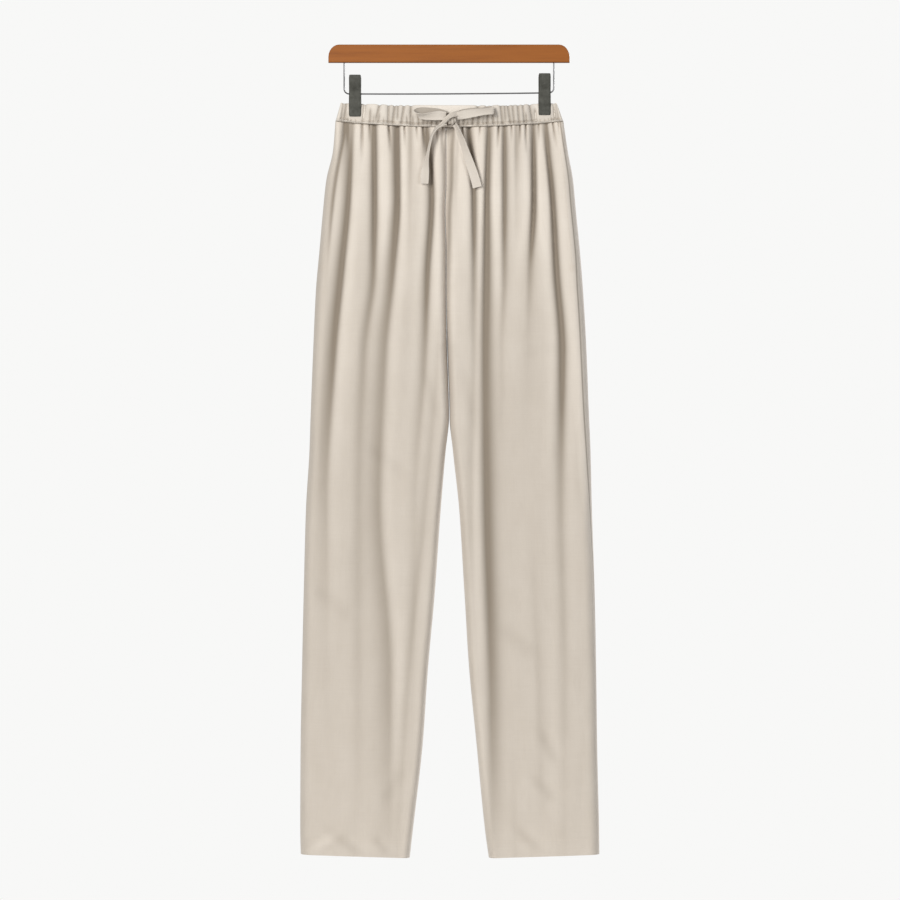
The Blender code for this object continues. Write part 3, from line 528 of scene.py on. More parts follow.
clip_paint, tree, shader = new_finish("clip_paint")
worn = object_noise(tree, (220.0, 220.0, 160.0), 4.0)
speck = object_noise(tree, (2600.0, 2600.0, 2600.0), 1.0)
set_inputs(tree, shader, {
    "Base Color": ramp(tree, worn, ((0.3, PAINT_DARK), (0.62, PAINT_MIDDLE), (0.82, PAINT_WORN))),
    "Roughness": scaled(tree, speck, 0.2, 0.55),
    "Normal": bump_node(tree, speck, 0.15, 0.0001), "Specular IOR Level": 0.3, "Metallic": 0.35})


def add_clip_plate(clip, face):
    """One bent plate inside the box of its solid, with its edges turned in and its corners rounded."""
    node = "clip_" + clip + "_" + face
    low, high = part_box(node)
    facing = -1.0 if face == "front" else 1.0
    middle = (low[0] + high[0]) / 2
    rows = smooth_route([Vector(row) for row in CLIP_PROFILE], CLIP_STEPS)
    drops = [row.y for row in rows]
    points = []
    for row in rows:
        half = LEVER_HALF + (JAW_HALF - LEVER_HALF) * min(max(row.z, 0.0), 1.0)
        from_end = min(row.y - drops[0], drops[-1] - row.y) * MM
        corner = max(CLIP_CORNER - from_end, 0.0)
        half -= CLIP_CORNER - math.sqrt(max(CLIP_CORNER ** 2 - corner ** 2, 0.0))
        for step in range(CLIP_ACROSS):
            share = 2.0 * step / (CLIP_ACROSS - 1) - 1.0
            turned_in = CLIP_FLANGE * max(abs(share) - CLIP_FLANGE_FROM, 0.0) / (1.0 - CLIP_FLANGE_FROM)
            out = row.x * MM - turned_in * turned_in / CLIP_FLANGE - CLIP_CROWN * share * share
            points.append((middle + half * share, facing * out, high[2] - row.y * MM))
    faces = grid_faces(len(rows), CLIP_ACROSS)[:, ::-1 if face == "front" else 1].tolist()
    mesh = bpy.data.meshes.new(node + "_plate")
    mesh.from_pydata(points, [], faces)
    mesh.shade_smooth()
    mesh.materials.append(clip_paint)
    plate = add_object(node + "_plate", mesh)
    sheet = plate.modifiers.new("sheet", "SOLIDIFY")
    sheet.thickness = CLIP_SHEET
    sheet.offset = -1.0
    edge = plate.modifiers.new("edge", "BEVEL")
    edge.width = CLIP_EDGE_BEVEL
    edge.segments = 2
    edge.limit_method = "ANGLE"
    edge.angle_limit = math.radians(40)
    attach(plate, "root")
    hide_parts(node)


def finish_tree(tree, grown, finish, material):
    """Ends a geometry tree: real faces with their material."""
    realize = add_node(tree, "GeometryNodeRealizeInstances", {"Geometry": grown})
    paint = add_node(tree, "GeometryNodeSetMaterial", {
        "Geometry": realize.outputs["Geometry"], "Material": material})
    tree.links.new(paint.outputs["Geometry"], finish.inputs["Geometry"])
    return tree


def build_coil_tree():
    """Round wire wound into a coil along X about a centre."""
    tree, start, finish = new_tree(
        "wound_coil", "GeometryNodeTree",
        {"Geometry": ("Geometry",), "Centre": ("Vector",), "Radius": ("Float", 0.003),
         "Length": ("Float", 0.012), "Turns": ("Float", 10.0), "Wire Radius": ("Float", 0.0005),
         "Metal": ("Material",)},
        {"Geometry": ("Geometry",)},
    )
    given = start.outputs
    spiral = add_node(tree, "GeometryNodeCurveSpiral", {
        "Resolution": 20, "Rotations": given["Turns"], "Start Radius": given["Radius"],
        "End Radius": given["Radius"], "Height": given["Length"]})
    lay_down = add_node(tree, "GeometryNodeTransform", {
        "Geometry": spiral.outputs["Curve"], "Rotation": (0.0, math.pi / 2, 0.0)})
    half_back = add_node(tree, "ShaderNodeVectorMath", operation="MULTIPLY_ADD")
    set_inputs(tree, half_back, {0: given["Length"], 1: (-0.5, 0.0, 0.0), 2: given["Centre"]})
    centre = add_node(tree, "GeometryNodeTransform", {
        "Geometry": lay_down.outputs["Geometry"], "Translation": half_back.outputs["Vector"]})
    wire = add_node(tree, "GeometryNodeCurvePrimitiveCircle", {
        "Resolution": 8, "Radius": given["Wire Radius"]})
    coil = add_node(tree, "GeometryNodeCurveToMesh", {
        "Curve": centre.outputs["Geometry"], "Profile Curve": wire.outputs["Curve"], "Fill Caps": True})
    return finish_tree(tree, coil.outputs["Mesh"], finish, given["Metal"])


def grow(name, source, tree, **values):
    """Runs a geometry tree on a source mesh and gives the result as a plain mesh object."""
    maker = add_object(name + "_maker", source)
    modifier = maker.modifiers.new("grow", "NODES")
    modifier.node_group = tree
    for item in tree.interface.items_tree:
        if item.in_out == "INPUT" and item.name.replace(" ", "_").lower() in values:
            modifier[item.identifier] = values[item.name.replace(" ", "_").lower()]
    bpy.context.view_layer.update()
    made = bpy.data.meshes.new_from_object(maker.evaluated_get(bpy.context.evaluated_depsgraph_get()))
    bpy.data.objects.remove(maker, do_unlink=True)
    made.name = name
    made.shade_smooth()
    return add_object(name, made)


coil_tree = build_coil_tree()
for clip in ("left", "right"):
    add_clip_plate(clip, "front")
    add_clip_plate(clip, "back")
    node = "clip_" + clip + "_spring"
    low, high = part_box(node)
    coil = grow(
        node + "_coil", bpy.data.meshes.new(node + "_seed"), coil_tree,
        centre=[(a + b) / 2 for a, b in zip(low, high)],
        radius=(high[2] - low[2] - SPRING_WIRE) / 2, length=high[0] - low[0] - SPRING_WIRE,
        turns=float(SPRING_TURNS), wire_radius=SPRING_WIRE / 2, metal=steel,
    )
    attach(coil, "root")
    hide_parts(node)

# ---------------------------------------------------------------------------
# Legs
# Two fronts and two backs of plain-woven undyed linen, gathered into the waistband so that they
# hang in soft vertical folds. Side seams, inseams and the centre seam are plain; hems turn up once.
# ---------------------------------------------------------------------------
# Cloth, hems and rise.
SEAM_GAP = 0.0003
CLOTH = 0.0012
HEM_CLOTH = 0.0022
HEM_DEPTH = 0.025
HEM_STEP = 0.0004
HEM_STEP_RUN = 0.003
CROTCH = -0.4205
RISE_RUN = 0.070
RISE_SHARE = 0.42
BAND_SHARE = 0.8
BAND_SHARE_RUN = 0.03
# The waistband's seam, the hem's line and the turns at the side seam and inseam.
WAIST_SEAM = -0.1160
WAIST_SEAM_RISE = 0.0090
WAIST_HALF = 0.160
HEM_INNER = -1.139
HEM_RISE = 0.005
HEM_INNER_X = 0.055
HEM_RUN = 0.155
SIDE_TURN = 0.016
INNER_TURN = 0.011
# How folds, puckers and creases start, widen and end.
SEAM_SETTLE = 0.010
SEAM_FOLD_SHARE = 0.9
FOLD_LIMIT = 0.9
PUCKER_SHARE = 1.8
PUCKER_WIDTH_TOP = 0.6
PUCKER_WIDENS = 0.8
CREASE_LEVEL_HALF = 0.2
CREASE_END = 0.22
# Painted shade along the centre fold, as a share of its cut.
CENTRE_SHADE = 1.4
LUMPS_FROM_SEAM = 0.05
SEAM_TUCK = 0.0016
SEAM_TUCK_RUN = 0.0030
CLIP_CENTRES = (-0.1330, 0.1326)
# Where the clips draw front and back together: half width, and how far it fades on either side.
CLIP_PINCH = (0.012, 0.012)
SEAM_PINCH = 0.6
# Painted shade on the legs' inner edges above the crotch.
INNER_EDGE_SHADE = 0.002
PINCH_LENGTH = 0.08
# Columns and rows of each panel's mesh.
SIDE_COLUMNS = 20
INNER_COLUMNS = 10
PANEL_COLUMNS = 140
PANEL_ROWS = 226
EDGE_ROUNDS = 6
SIDE_SIGN = {"left": -1.0, "right": 1.0}
FACING = {"front": -1.0, "back": 1.0}

# Height, left edge, right edge, middle, gap between the legs, front depth, back depth and how far
# the right side seam stands in from the right edge, all in millimetres.
SECTIONS = (
    (-106, -160.5, 159.0, -5.6, 0.3, 12.5, 12.0, 5.0),
    (-148, -164.0, 165.0, -5.6, 0.3, 19.0, 19.0, 5.0),
    (-190, -173.5, 172.5, -5.6, 0.3, 22.5, 25.0, 6.5),
    (-232, -178.0, 176.5, -7.0, 0.3, 24.0, 29.0, 7.0),
    (-288, -183.0, 182.0, -5.6, 0.3, 25.0, 32.0, 7.0),
    (-344, -188.0, 186.5, -5.6, 0.3, 25.0, 33.0, 8.5),
    (-420, -191.5, 191.0, -4.2, 0.4, 24.5, 31.0, 8.5),
    (-522, -195.5, 195.0, -1.0, 0.8, 23.0, 27.0, 7.5),
    (-568, -197.0, 197.0, -1.0, 10.0, 22.5, 26.0, 6.5),
    (-652, -202.0, 199.0, 0.0, 26.0, 21.5, 24.0, 3.0),
    (-764, -205.0, 202.8, -0.5, 41.0, 20.5, 22.0, 1.0),
    (-876, -207.5, 205.0, -2.0, 58.0, 19.5, 21.0, 0.0),
    (-988, -209.5, 206.5, -0.5, 77.0, 19.0, 20.0, 0.0),
    (-1100, -210.0, 209.0, -1.5, 101.0, 19.5, 20.0, 0.0),
    (-1140, -209.0, 209.5, -1.0, 111.0, 19.5, 20.0, 0.0),
)
SECTION_COLUMNS = ("z", "left", "right", "middle", "gap", "front", "back", "inset")

# Fold lines of each leg and face: distance from the middle and depth at the fold heights, then the
# half width near the top and lower down, towards the middle and on the outer side. Millimetres.
FOLD_HEIGHTS = (-118, -215, -320, -430, -640, -880, -1135)
FOLD_WIDTH_HEIGHTS = (-215, -520)
FOLDS = {
    ("left", "front"): (
        ((-146, -163, -172, -178, -180, -180, -180), (4.5, 4, 0.5, 0, 0, 0, 0), (2, 2), (3.5, 4)),
        ((-137, -141, -151, -162, -174, -172, -150), (6, 7, 7.5, 6.5, 2.5, 0.3, 0), (2.9, 5.5), (9, 17)),
        ((-106, -105, -107, -120, -128, -128, -130), (9, 8, 5, 3, 1.5, 1, 0), (3.6, 8), (5.6, 9)),
        ((-73, -72, -80, -92, -101, -86, -86), (11, 9.5, 6.5, 5.5, 5.2, 4.5, 0.5), (2.5, 8.5), (7.8, 27)),
        ((-55, -56, -58, -60, -60, -60, -60), (3, 1.5, 0, 0, 0, 0, 0), (2.9, 4), (4.5, 4)),
        ((-32, -25, -31, -35, -49, -52, -56), (7, 9, 6.5, 3.5, 1, 0.5, 0), (3.2, 5), (5, 8)),
        ((-12, -12, -12, -17, -34, -58, -74), (0, 0, 0, 1, 1.5, 1.5, 0.5), (3.6, 5), (5.6, 8)),
    ),
    ("right", "front"): (
        ((13, 8, 8, 8, 18, 30, 50), (3, 1, 0, 0, 0, 0, 0), (2.9, 4), (4.5, 4)),
        ((25, 33, 34, 34, 30, 34, 62), (10, 9, 5, 2.5, 1.5, 0, 0), (2.9, 7), (5, 6)),
        ((54, 51, 50, 49, 51, 58, 62), (7, 10, 9.5, 8.5, 9, 6.5, 0.5), (3.2, 8), (5, 20)),
        ((76, 76, 76, 72, 76, 84, 92), (7, 6.5, 3.5, 1, 0, 0, 0.5), (3.2, 5), (5, 5)),
        ((93, 93, 93, 93, 96, 100, 104), (4, 1, 0, 0, 0, 0, 0), (2.5, 3.5), (3.9, 3.5)),
        ((117, 117, 112, 110, 112, 124, 130), (8, 11, 3, 0.5, 0, 1, 0), (3, 6), (3.8, 8)),
        ((133, 143, 149, 157, 155, 160, 160), (7, 10.5, 9.5, 8, 2.5, 1.2, 0.3), (3, 8), (3.8, 7)),
    ),
    ("left", "back"): (
        ((-134, -141, -150, -160, -172, -168, -160), (7, 8, 8, 6, 3.5, 2, 0.5), (3.2, 5.5), (7, 14)),
        ((-112, -108, -109, -121, -131, -128, -120), (8, 6, 2.5, 1, 0.5, 0.5, 0), (3.4, 6), (5.5, 9)),
        ((-82, -85, -92, -101, -110, -112, -114), (9, 10, 7, 6, 6, 5, 1), (3, 7), (7, 22)),
        ((-60, -62, -64, -70, -74, -76, -90), (5, 2, 0.5, 0, 0, 0.5, 0), (3, 4), (4, 6)),
        ((-36, -33, -35, -43, -52, -60, -78), (8, 9, 7, 3.5, 1.5, 1, 0.5), (3.6, 6), (5.5, 9)),
        ((-14, -15, -17, -22, -30, -42, -66), (4, 4, 2, 0.5, 0, 0.5, 0), (3, 4), (4, 5)),
    ),
    ("right", "back"): (
        ((14, 12, 12, 16, 28, 44, 68), (4, 2, 0.5, 0, 0, 0, 0), (3, 4), (4, 4)),
        ((31, 35, 40, 43, 50, 62, 82), (8, 9, 8, 5, 3, 2, 0.5), (3.2, 5.5), (5.5, 12)),
        ((53, 54, 56, 60, 66, 74, 90), (6, 3, 0.5, 0, 0, 0, 0), (3, 4), (4, 4)),
        ((80, 76, 78, 86, 97, 100, 102), (9, 10, 8, 6.5, 7, 6, 1), (3.2, 7), (6, 21)),
        ((104, 109, 115, 122, 134, 138, 132), (7, 5, 2, 0.5, 0, 0.5, 0), (3.4, 5), (5, 8)),
        ((126, 131, 141, 150, 160, 166, 164), (8, 9, 7, 6, 3, 1.5, 0.5), (3.6, 7), (5.5, 11)),
        ((146, 151, 158, 166, 174, 176, 172), (5, 4, 1, 0, 0, 0.5, 0), (3, 5), (4, 6)),
    ),
}

# The fold along the centre seam, shared by both legs: distance from the seam, depth and half width
# at the fold heights, in millimetres.
CENTRE_FOLD = ((5.5, 4.5, 1.5, 0.5, 0, 0, 0), (10, 7, 4.5, 2.5, 0, 0, 0), (5.5, 4.5, 3, 2.5, 2, 2, 2))

# Puckers that start at the waistband's seam and run out below it: distance from the middle at the
# seam and at their low end, length, depth and half width, all in millimetres.
PUCKERS = {
    "front": (
        (-148, -150, 26, 2.6, 1.8), (-143, -144, 46, 3.4, 2.2), (-123, -123, 60, 3.6, 2.4),
        (-113, -112, 30, 2.4, 1.8), (-86, -82, 44, 3.6, 2.2), (-64, -62, 34, 2.8, 2),
        (-47, -44, 24, 2.2, 1.8), (-38, -34, 40, 3.2, 2.2), (-19, -18, 34, 2.4, 2),
        (-11, -9, 50, 3, 2.4), (5, 4, 30, 2.2, 1.8), (17, 18, 44, 3.2, 2), (27, 27, 36, 3, 1.8),
        (42, 41, 24, 2.4, 1.6), (68, 67, 40, 3.4, 2), (86, 87, 26, 2.4, 1.8), (98, 97, 34, 2.8, 1.8),
        (106, 108, 46, 3.2, 2), (124, 125, 30, 2.6, 1.8), (135, 141, 48, 3.4, 1.7),
        (144, 150, 44, 3.2, 1.6), (152, 155, 28, 2.4, 1.6),
    ),
    "back": (
        (-149, -152, 34, 2.8, 1.8), (-141, -142, 26, 2.4, 1.8), (-120, -121, 52, 3.4, 2.2),
        (-110, -108, 28, 2.4, 1.8), (-88, -90, 38, 3, 2), (-74, -73, 46, 3.2, 2.2),
        (-51, -52, 30, 2.6, 1.8), (-43, -42, 40, 3, 2), (-23, -22, 26, 2.4, 1.8), (-4, -4, 44, 3, 2.2),
        (8, 7, 28, 2.4, 1.8), (25, 24, 40, 3.2, 2), (47, 46, 32, 2.6, 1.8), (60, 60, 48, 3.4, 2.2),
        (81, 83, 36, 2.8, 1.8), (93, 95, 28, 2.6, 1.8), (114, 116, 44, 3.2, 2.2),
        (124, 125, 26, 2.4, 1.6), (143, 146, 38, 3, 2), (151, 153, 26, 2.2, 1.6),
    ),
}

# Slanting creases near the knees and hems: the two ends (x, z), depth and half width, in mm.
CREASES = {
    ("left", "front"): (
        (-196, -1128, -150, -1100, -1.2, 8), (-176, -1096, -120, -1138, 1.1, 8),
        (-108, -1108, -86, -1136, 0.8, 7), (-62, -1010, -96, -1066, 0.7, 10),
        (-196, -760, -132, -806, 0.9, 12), (-124, -560, -56, -604, 0.8, 12),
        (-36, -450, -14, -540, 0.5, 8),
    ),
    ("right", "front"): (
        (126, -956, 148, -1010, 0.9, 8), (150, -1060, 112, -1024, 0.9, 9),
        (90, -1096, 128, -1130, 0.9, 8), (62, -816, 128, -856, 0.9, 13), (92, -436, 178, -424, 0.7, 8),
        (16, -440, 36, -540, 0.6, 8),
    ),
    ("left", "back"): (
        (-176, -616, -104, -656, 1, 12), (-154, -1074, -104, -1116, 1, 9),
        (-194, -1000, -146, -1044, 0.8, 10), (-60, -450, -12, -500, 1, 8),
    ),
    ("right", "back"): (
        (66, -594, 146, -646, 1, 12), (116, -1064, 164, -1108, 1, 9), (80, -950, 124, -996, 0.8, 10),
        (14, -440, 52, -496, 1, 8),
    ),
}
# Lumps of the limp cloth: width and height in metres, depth in millimetres, for each size.
LUMPS = ((0.034, 0.150, 1.2), (0.015, 0.052, 0.55), (0.007, 0.018, 0.16))
LUMP_FIELD = (0.5, 1.2)
LUMP_SEED = 20

# Light and dark yarn colours, then the painted shade colour of fold hollows and seams.
LEG_YARNS_AND_SHADE = ((0.772, 0.706, 0.630), (0.620, 0.551, 0.470), (0.255, 0.212, 0.165))
leg_linen = linen_material("leg_linen", *LEG_YARNS_AND_SHADE, thread=0.0006, slub=0.34, bump=0.5)


def smooth_track(z, heights, values):
    """Values along a smooth line through those at the given heights, with no overshoot."""
    order = np.argsort(heights)
    knots = np.asarray(heights, float)[order]
    marks = np.asarray(values, float)[order]
    step = np.diff(knots)
    slope = np.diff(marks) / step
    tangent = np.zeros(len(knots))
    steady = slope[:-1] * slope[1:] > 0
    before, after = slope[:-1][steady], slope[1:][steady]
    tangent[1:-1][steady] = 2.0 * before * after / (before + after)
    tangent[0], tangent[-1] = slope[0], slope[-1]
    z = np.clip(z, knots[0], knots[-1])
    cell = np.clip(np.searchsorted(knots, z) - 1, 0, len(knots) - 2)
    width = step[cell]
    t = (z - knots[cell]) / width
    rise = t * t * (3.0 - 2.0 * t)
    start = t * (1.0 - t) ** 2 * width * tangent[cell]
    end = t * t * (t - 1.0) * width * tangent[cell + 1]
    return marks[cell] * (1.0 - rise) + marks[cell + 1] * rise + start + end


def held(value):
    """A value held between 0 and 1."""
    return np.clip(value, 0.0, 1.0)


def bell(distance, half):
    """1 in the middle, falling smoothly to nothing either side."""
    return np.exp(-(distance / half) ** 2)


def section(z, column):
    """One column of the section table at height z, in metres."""
    index = SECTION_COLUMNS.index(column)
    return smooth_track(z, [row[0] * MM for row in SECTIONS], [row[index] * MM for row in SECTIONS])


def inner_edge(leg, z):
    return section(z, "middle") + SIDE_SIGN[leg] * 0.5 * section(z, "gap")


def quarter_turn(distance, reach):
    """0 at an edge, rising as a quarter of an ellipse to 1 at the reach."""
    share = held(distance / reach)
    return np.sqrt(1.0 - (1.0 - share) ** 2)


def near_clips(x, half, fall):
    """1 across each clip, falling to 0 beside it."""
    return sum(bell(np.maximum(np.abs(x - centre) - half, 0.0), fall) for centre in CLIP_CENTRES)


def waist_seam_height(x):
    return WAIST_SEAM + WAIST_SEAM_RISE * (x / WAIST_HALF) ** 2


def hem_height(x):
    return HEM_INNER + HEM_RISE * held((np.abs(x) - HEM_INNER_X) / HEM_RUN)


def rise_share(z):
    """How far out the centre seam stands, as a share of the depth: nothing from the crotch down."""
    climb = np.sqrt(held((z - CROTCH) / RISE_RUN))
    at_band = held(1.0 - (WAIST_SEAM - z) / BAND_SHARE_RUN)
    return climb * (RISE_SHARE + (BAND_SHARE - RISE_SHARE) * at_band)


def valley(distance, inner, outer):
    """Depth share of a fold at a distance from its line: narrow at the foot, round at the tops."""
    span = distance / np.where(distance > 0.0, outer, inner)
    return 1.0 / (1.0 + span * span)


def fold_track(z, values):
    """Values in millimetres at the fold heights, as metres at height z."""
    return smooth_track(z, [h * MM for h in FOLD_HEIGHTS], [v * MM for v in values])


def fold_cut(x, z, leg, face):
    """Depth that folds, puckers and creases take out of the cloth at x and z."""
    cut = np.zeros_like(x)
    sign = SIDE_SIGN[leg]
    lower = held((z / MM - FOLD_WIDTH_HEIGHTS[0]) / np.diff(FOLD_WIDTH_HEIGHTS)[0])
    for line, depths, inner, outer in FOLDS[leg, face]:
        halves = [(top + (low - top) * lower) * MM for top, low in (inner, outer)]
        cut += fold_track(z, depths) * valley(sign * (x - fold_track(z, line)), *halves)
    settle = held((waist_seam_height(x) - z) / SEAM_SETTLE)
    cut *= SEAM_FOLD_SHARE + (1.0 - SEAM_FOLD_SHARE) * settle
    for top_x, low_x, length, depth, half in PUCKERS[face]:
        down = held((waist_seam_height(x) - z) / (length * MM))
        centre = (top_x + (low_x - top_x) * down) * MM
        width = half * MM * (PUCKER_WIDTH_TOP + PUCKER_WIDENS * down)
        cut += PUCKER_SHARE * depth * MM * (1.0 - down) ** 1.5 * bell(x - centre, width)
    for x0, z0, x1, z1, depth, half in CREASES[leg, face]:
        run_x, run_z = (x1 - x0) * MM, (z1 - z0) * MM
        length = math.hypot(run_x, run_z)
        along = ((x - x0 * MM) * run_x + (z - z0 * MM) * run_z) / length ** 2
        aside = ((x - x0 * MM) * run_z - (z - z0 * MM) * run_x) / length
        ends = bell(np.maximum(np.abs(along - 0.5) - CREASE_LEVEL_HALF, 0.0), CREASE_END)
        cut += depth * MM * ends * bell(aside, half * MM)
    return cut


def soft_lumps(x, z, seed):
    """Slow unevenness of limp cloth: three sizes of smoothed random lumps, stretched downwards."""
    total = np.zeros_like(x)
    random = np.random.default_rng(seed)
    for across, down, height in LUMPS:
        u, v = (x + LUMP_FIELD[0] / 2) / across, (z + LUMP_FIELD[1]) / down
        cells = (int(LUMP_FIELD[1] / down) + 4, int(LUMP_FIELD[0] / across) + 4)
        lattice = random.uniform(-1.0, 1.0, cells)
        i, j = np.floor(v).astype(int), np.floor(u).astype(int)
        s, t = v - i, u - j
        s, t = s * s * (3.0 - 2.0 * s), t * t * (3.0 - 2.0 * t)
        upper = lattice[i, j] * (1.0 - t) + lattice[i, j + 1] * t
        lower = lattice[i + 1, j] * (1.0 - t) + lattice[i + 1, j + 1] * t
        total += height * MM * (upper * (1.0 - s) + lower * s)
    return total


def stand_out(x, z, leg, face):
    """How far the cloth of one face stands out from the garment's middle plane, and how much painted shade it
    gets from its fold cut.
    """
    side = quarter_turn(np.abs(section(z, leg) - x), SIDE_TURN)
    middle = quarter_turn(np.abs(x - inner_edge(leg, z)), INNER_TURN)
    rise = rise_share(z)
    pinch = SEAM_PINCH * held(1.0 - (WAIST_SEAM - z) / PINCH_LENGTH) * near_clips(x, *CLIP_PINCH)
    depth = section(z, face) * (1.0 - pinch)
    deepest = FOLD_LIMIT * depth
    full_cut = fold_cut(x, z, leg, face)
    cut = deepest * np.tanh(full_cut / deepest)
    under_band = held((waist_seam_height(x) - z) / LUMPS_FROM_SEAM)
    seed = LUMP_SEED + 2 * list(FACING).index(face) + list(SIDE_SIGN).index(leg)
    lumps = soft_lumps(x, z, seed) * under_band
    shift, centre_depth, centre_half = (fold_track(z, row) for row in CENTRE_FOLD)
    centre_span = (x - section(z, "middle") - shift) / centre_half
    centre_cut = centre_depth / (1.0 + centre_span ** 2)
    out = depth * side * (rise + (1.0 - rise) * middle) + (lumps - cut) * side * middle - centre_cut * side
    tuck = SEAM_TUCK * bell(waist_seam_height(x) - z, SEAM_TUCK_RUN)
    out -= tuck * side
    hem = HEM_STEP * held((HEM_INNER + HEM_DEPTH - z) / HEM_STEP_RUN)
    # Painted shade: from the folds' cut, along the centre fold, and on the inner edges above the crotch.
    hidden_shade = (1.0 - middle) * (1.0 - rise) * INNER_EDGE_SHADE * (z > CROTCH)
    shade = 0.5 * (cut + full_cut) * side * middle + CENTRE_SHADE * centre_cut * side + hidden_shade
    return np.maximum(out, 0.0) + 0.5 * SEAM_GAP + hem * side * middle, shade


def seam_angle(leg, z):
    """Angle round the side turn at which front and back meet: 0 is the outermost edge."""
    inset = section(z, "inset") if leg == "right" else np.zeros_like(z)
    return np.arccos(held(1.0 - inset / SIDE_TURN))


def panel_grid(leg, face):
    """Outer points of one leg panel from side seam to inner edge, and the painted shade from the fold cut at
    each.
    """
    sign, facing = SIDE_SIGN[leg], FACING[face]
    level = np.linspace(0.0, 1.0, PANEL_ROWS)[:, None]
    x = np.tile(sign * WAIST_HALF * np.linspace(1.0, 0.0, PANEL_COLUMNS), (PANEL_ROWS, 1))
    turn = np.linspace(0.0, 1.0, SIDE_COLUMNS)[None, :]
    inner_turn = np.linspace(math.pi / 2, 0.0, INNER_COLUMNS)[None, :]
    flat = np.linspace(0.0, 1.0, PANEL_COLUMNS - SIDE_COLUMNS - INNER_COLUMNS + 2)[None, 1:-1]
    for _ in range(EDGE_ROUNDS):
        top = waist_seam_height(x[0]) - SEAM_GAP
        hem = hem_height(x[-1])
        z = top + (hem - top) * level
        first = seam_angle(leg, z[:, :SIDE_COLUMNS])
        angle = first + (-facing * math.pi / 2 - first) * turn
        side_x = section(z[:, :SIDE_COLUMNS], leg) - sign * SIDE_TURN * (1.0 - np.cos(angle))
        low_z = z[:, -INNER_COLUMNS:]
        inner_x = inner_edge(leg, low_z) + sign * INNER_TURN * (1.0 - np.cos(inner_turn))
        between = side_x[:, -1:] + (inner_x[:, :1] - side_x[:, -1:]) * flat
        x = np.hstack([side_x, between, inner_x])
    on_front = np.full(z.shape, face == "front")
    on_front[:, :SIDE_COLUMNS] |= angle > 0.0
    front, front_shade = stand_out(x, z, leg, "front")
    back, back_shade = stand_out(x, z, leg, "back")
    y = np.where(on_front, -front, back)
    cut = np.where(on_front, front_shade, back_shade)
    return np.stack([x, y, z], axis=-1), cut


def grid_normals(points, outward):
    """Unit normals of a grid of points, turned to the side that outward points to."""
    normals = np.cross(np.gradient(points, axis=0), np.gradient(points, axis=1))
    normals /= np.maximum(np.linalg.norm(normals, axis=-1, keepdims=True), 1e-12)
    facing = np.sum(normals * outward, axis=-1, keepdims=True)
    return np.where(facing < 0.0, -normals, normals)


def run_lengths(points, axis):
    """Length from the first point along each row or column of a grid."""
    steps = np.linalg.norm(np.diff(points, axis=axis), axis=-1)
    first = np.zeros_like(np.take(steps, [0], axis=axis))
    return np.concatenate([first, np.cumsum(steps, axis=axis)], axis=axis)


def grid_map(points):
    """Cloth map of a grid: length across from the middle column, and drop down each column."""
    u = run_lengths(points, 1)
    u -= u[:, u.shape[1] // 2][:, None]
    return np.stack([u, -points[..., 2]], axis=-1)


def wall_piece(name, outer, inner, cloth_map, fold, material):
    """Closed shell between an outer and an inner grid of points."""
    rows, columns = outer.shape[:2]
    count = rows * columns
    skin = grid_faces(rows, columns)
    border = list(range(columns - 1))
    border += [row * columns + columns - 1 for row in range(rows - 1)]
    border += [(rows - 1) * columns + column for column in range(columns - 1, 0, -1)]
    border += [row * columns for row in range(rows - 1, 0, -1)]
    rim = [(p, q, q + count, p + count) for p, q in zip(border, border[1:] + border[:1])]
    faces = np.vstack([skin, skin[:, ::-1] + count]).tolist() + rim
    points = np.concatenate([outer.reshape(-1, 3), inner.reshape(-1, 3)])
    points[:, 0] += GARMENT_X
    maps = np.tile(cloth_map.reshape(-1, 2), (2, 1))
    return mesh_piece(name, points.tolist(), faces, maps, np.tile(fold.ravel(), 2), material)


# Painted shade in the folds' hollows and painted highlight on the ridges, and a painted shade line along the
# seams.
RELIEF_REACH = 0.018
RELIEF_SAMPLES = 13
RELIEF_SPAN = 0.0062
RELIEF_LEVEL = 0.33
HOLLOW_SPAN = 0.030
EDGE_FADE = 0.016
SEAM_SHADE_WIDTH = 0.0013
SEAM_SHADE = 0.8


def relief_shade(along, cut):
    """Painted shade of the cloth: high in the folds' hollows, low on the ridges between them, so the ridges
    come out lighter than flat cloth as a painted highlight.
    """
    offsets = np.linspace(-RELIEF_REACH, RELIEF_REACH, RELIEF_SAMPLES)
    around = np.array([
        np.mean([np.interp(row + offset, row, depth) for offset in offsets], axis=0)
        for row, depth in zip(along, cut)])
    return held(RELIEF_LEVEL + (cut - around) / RELIEF_SPAN + cut / HOLLOW_SPAN)


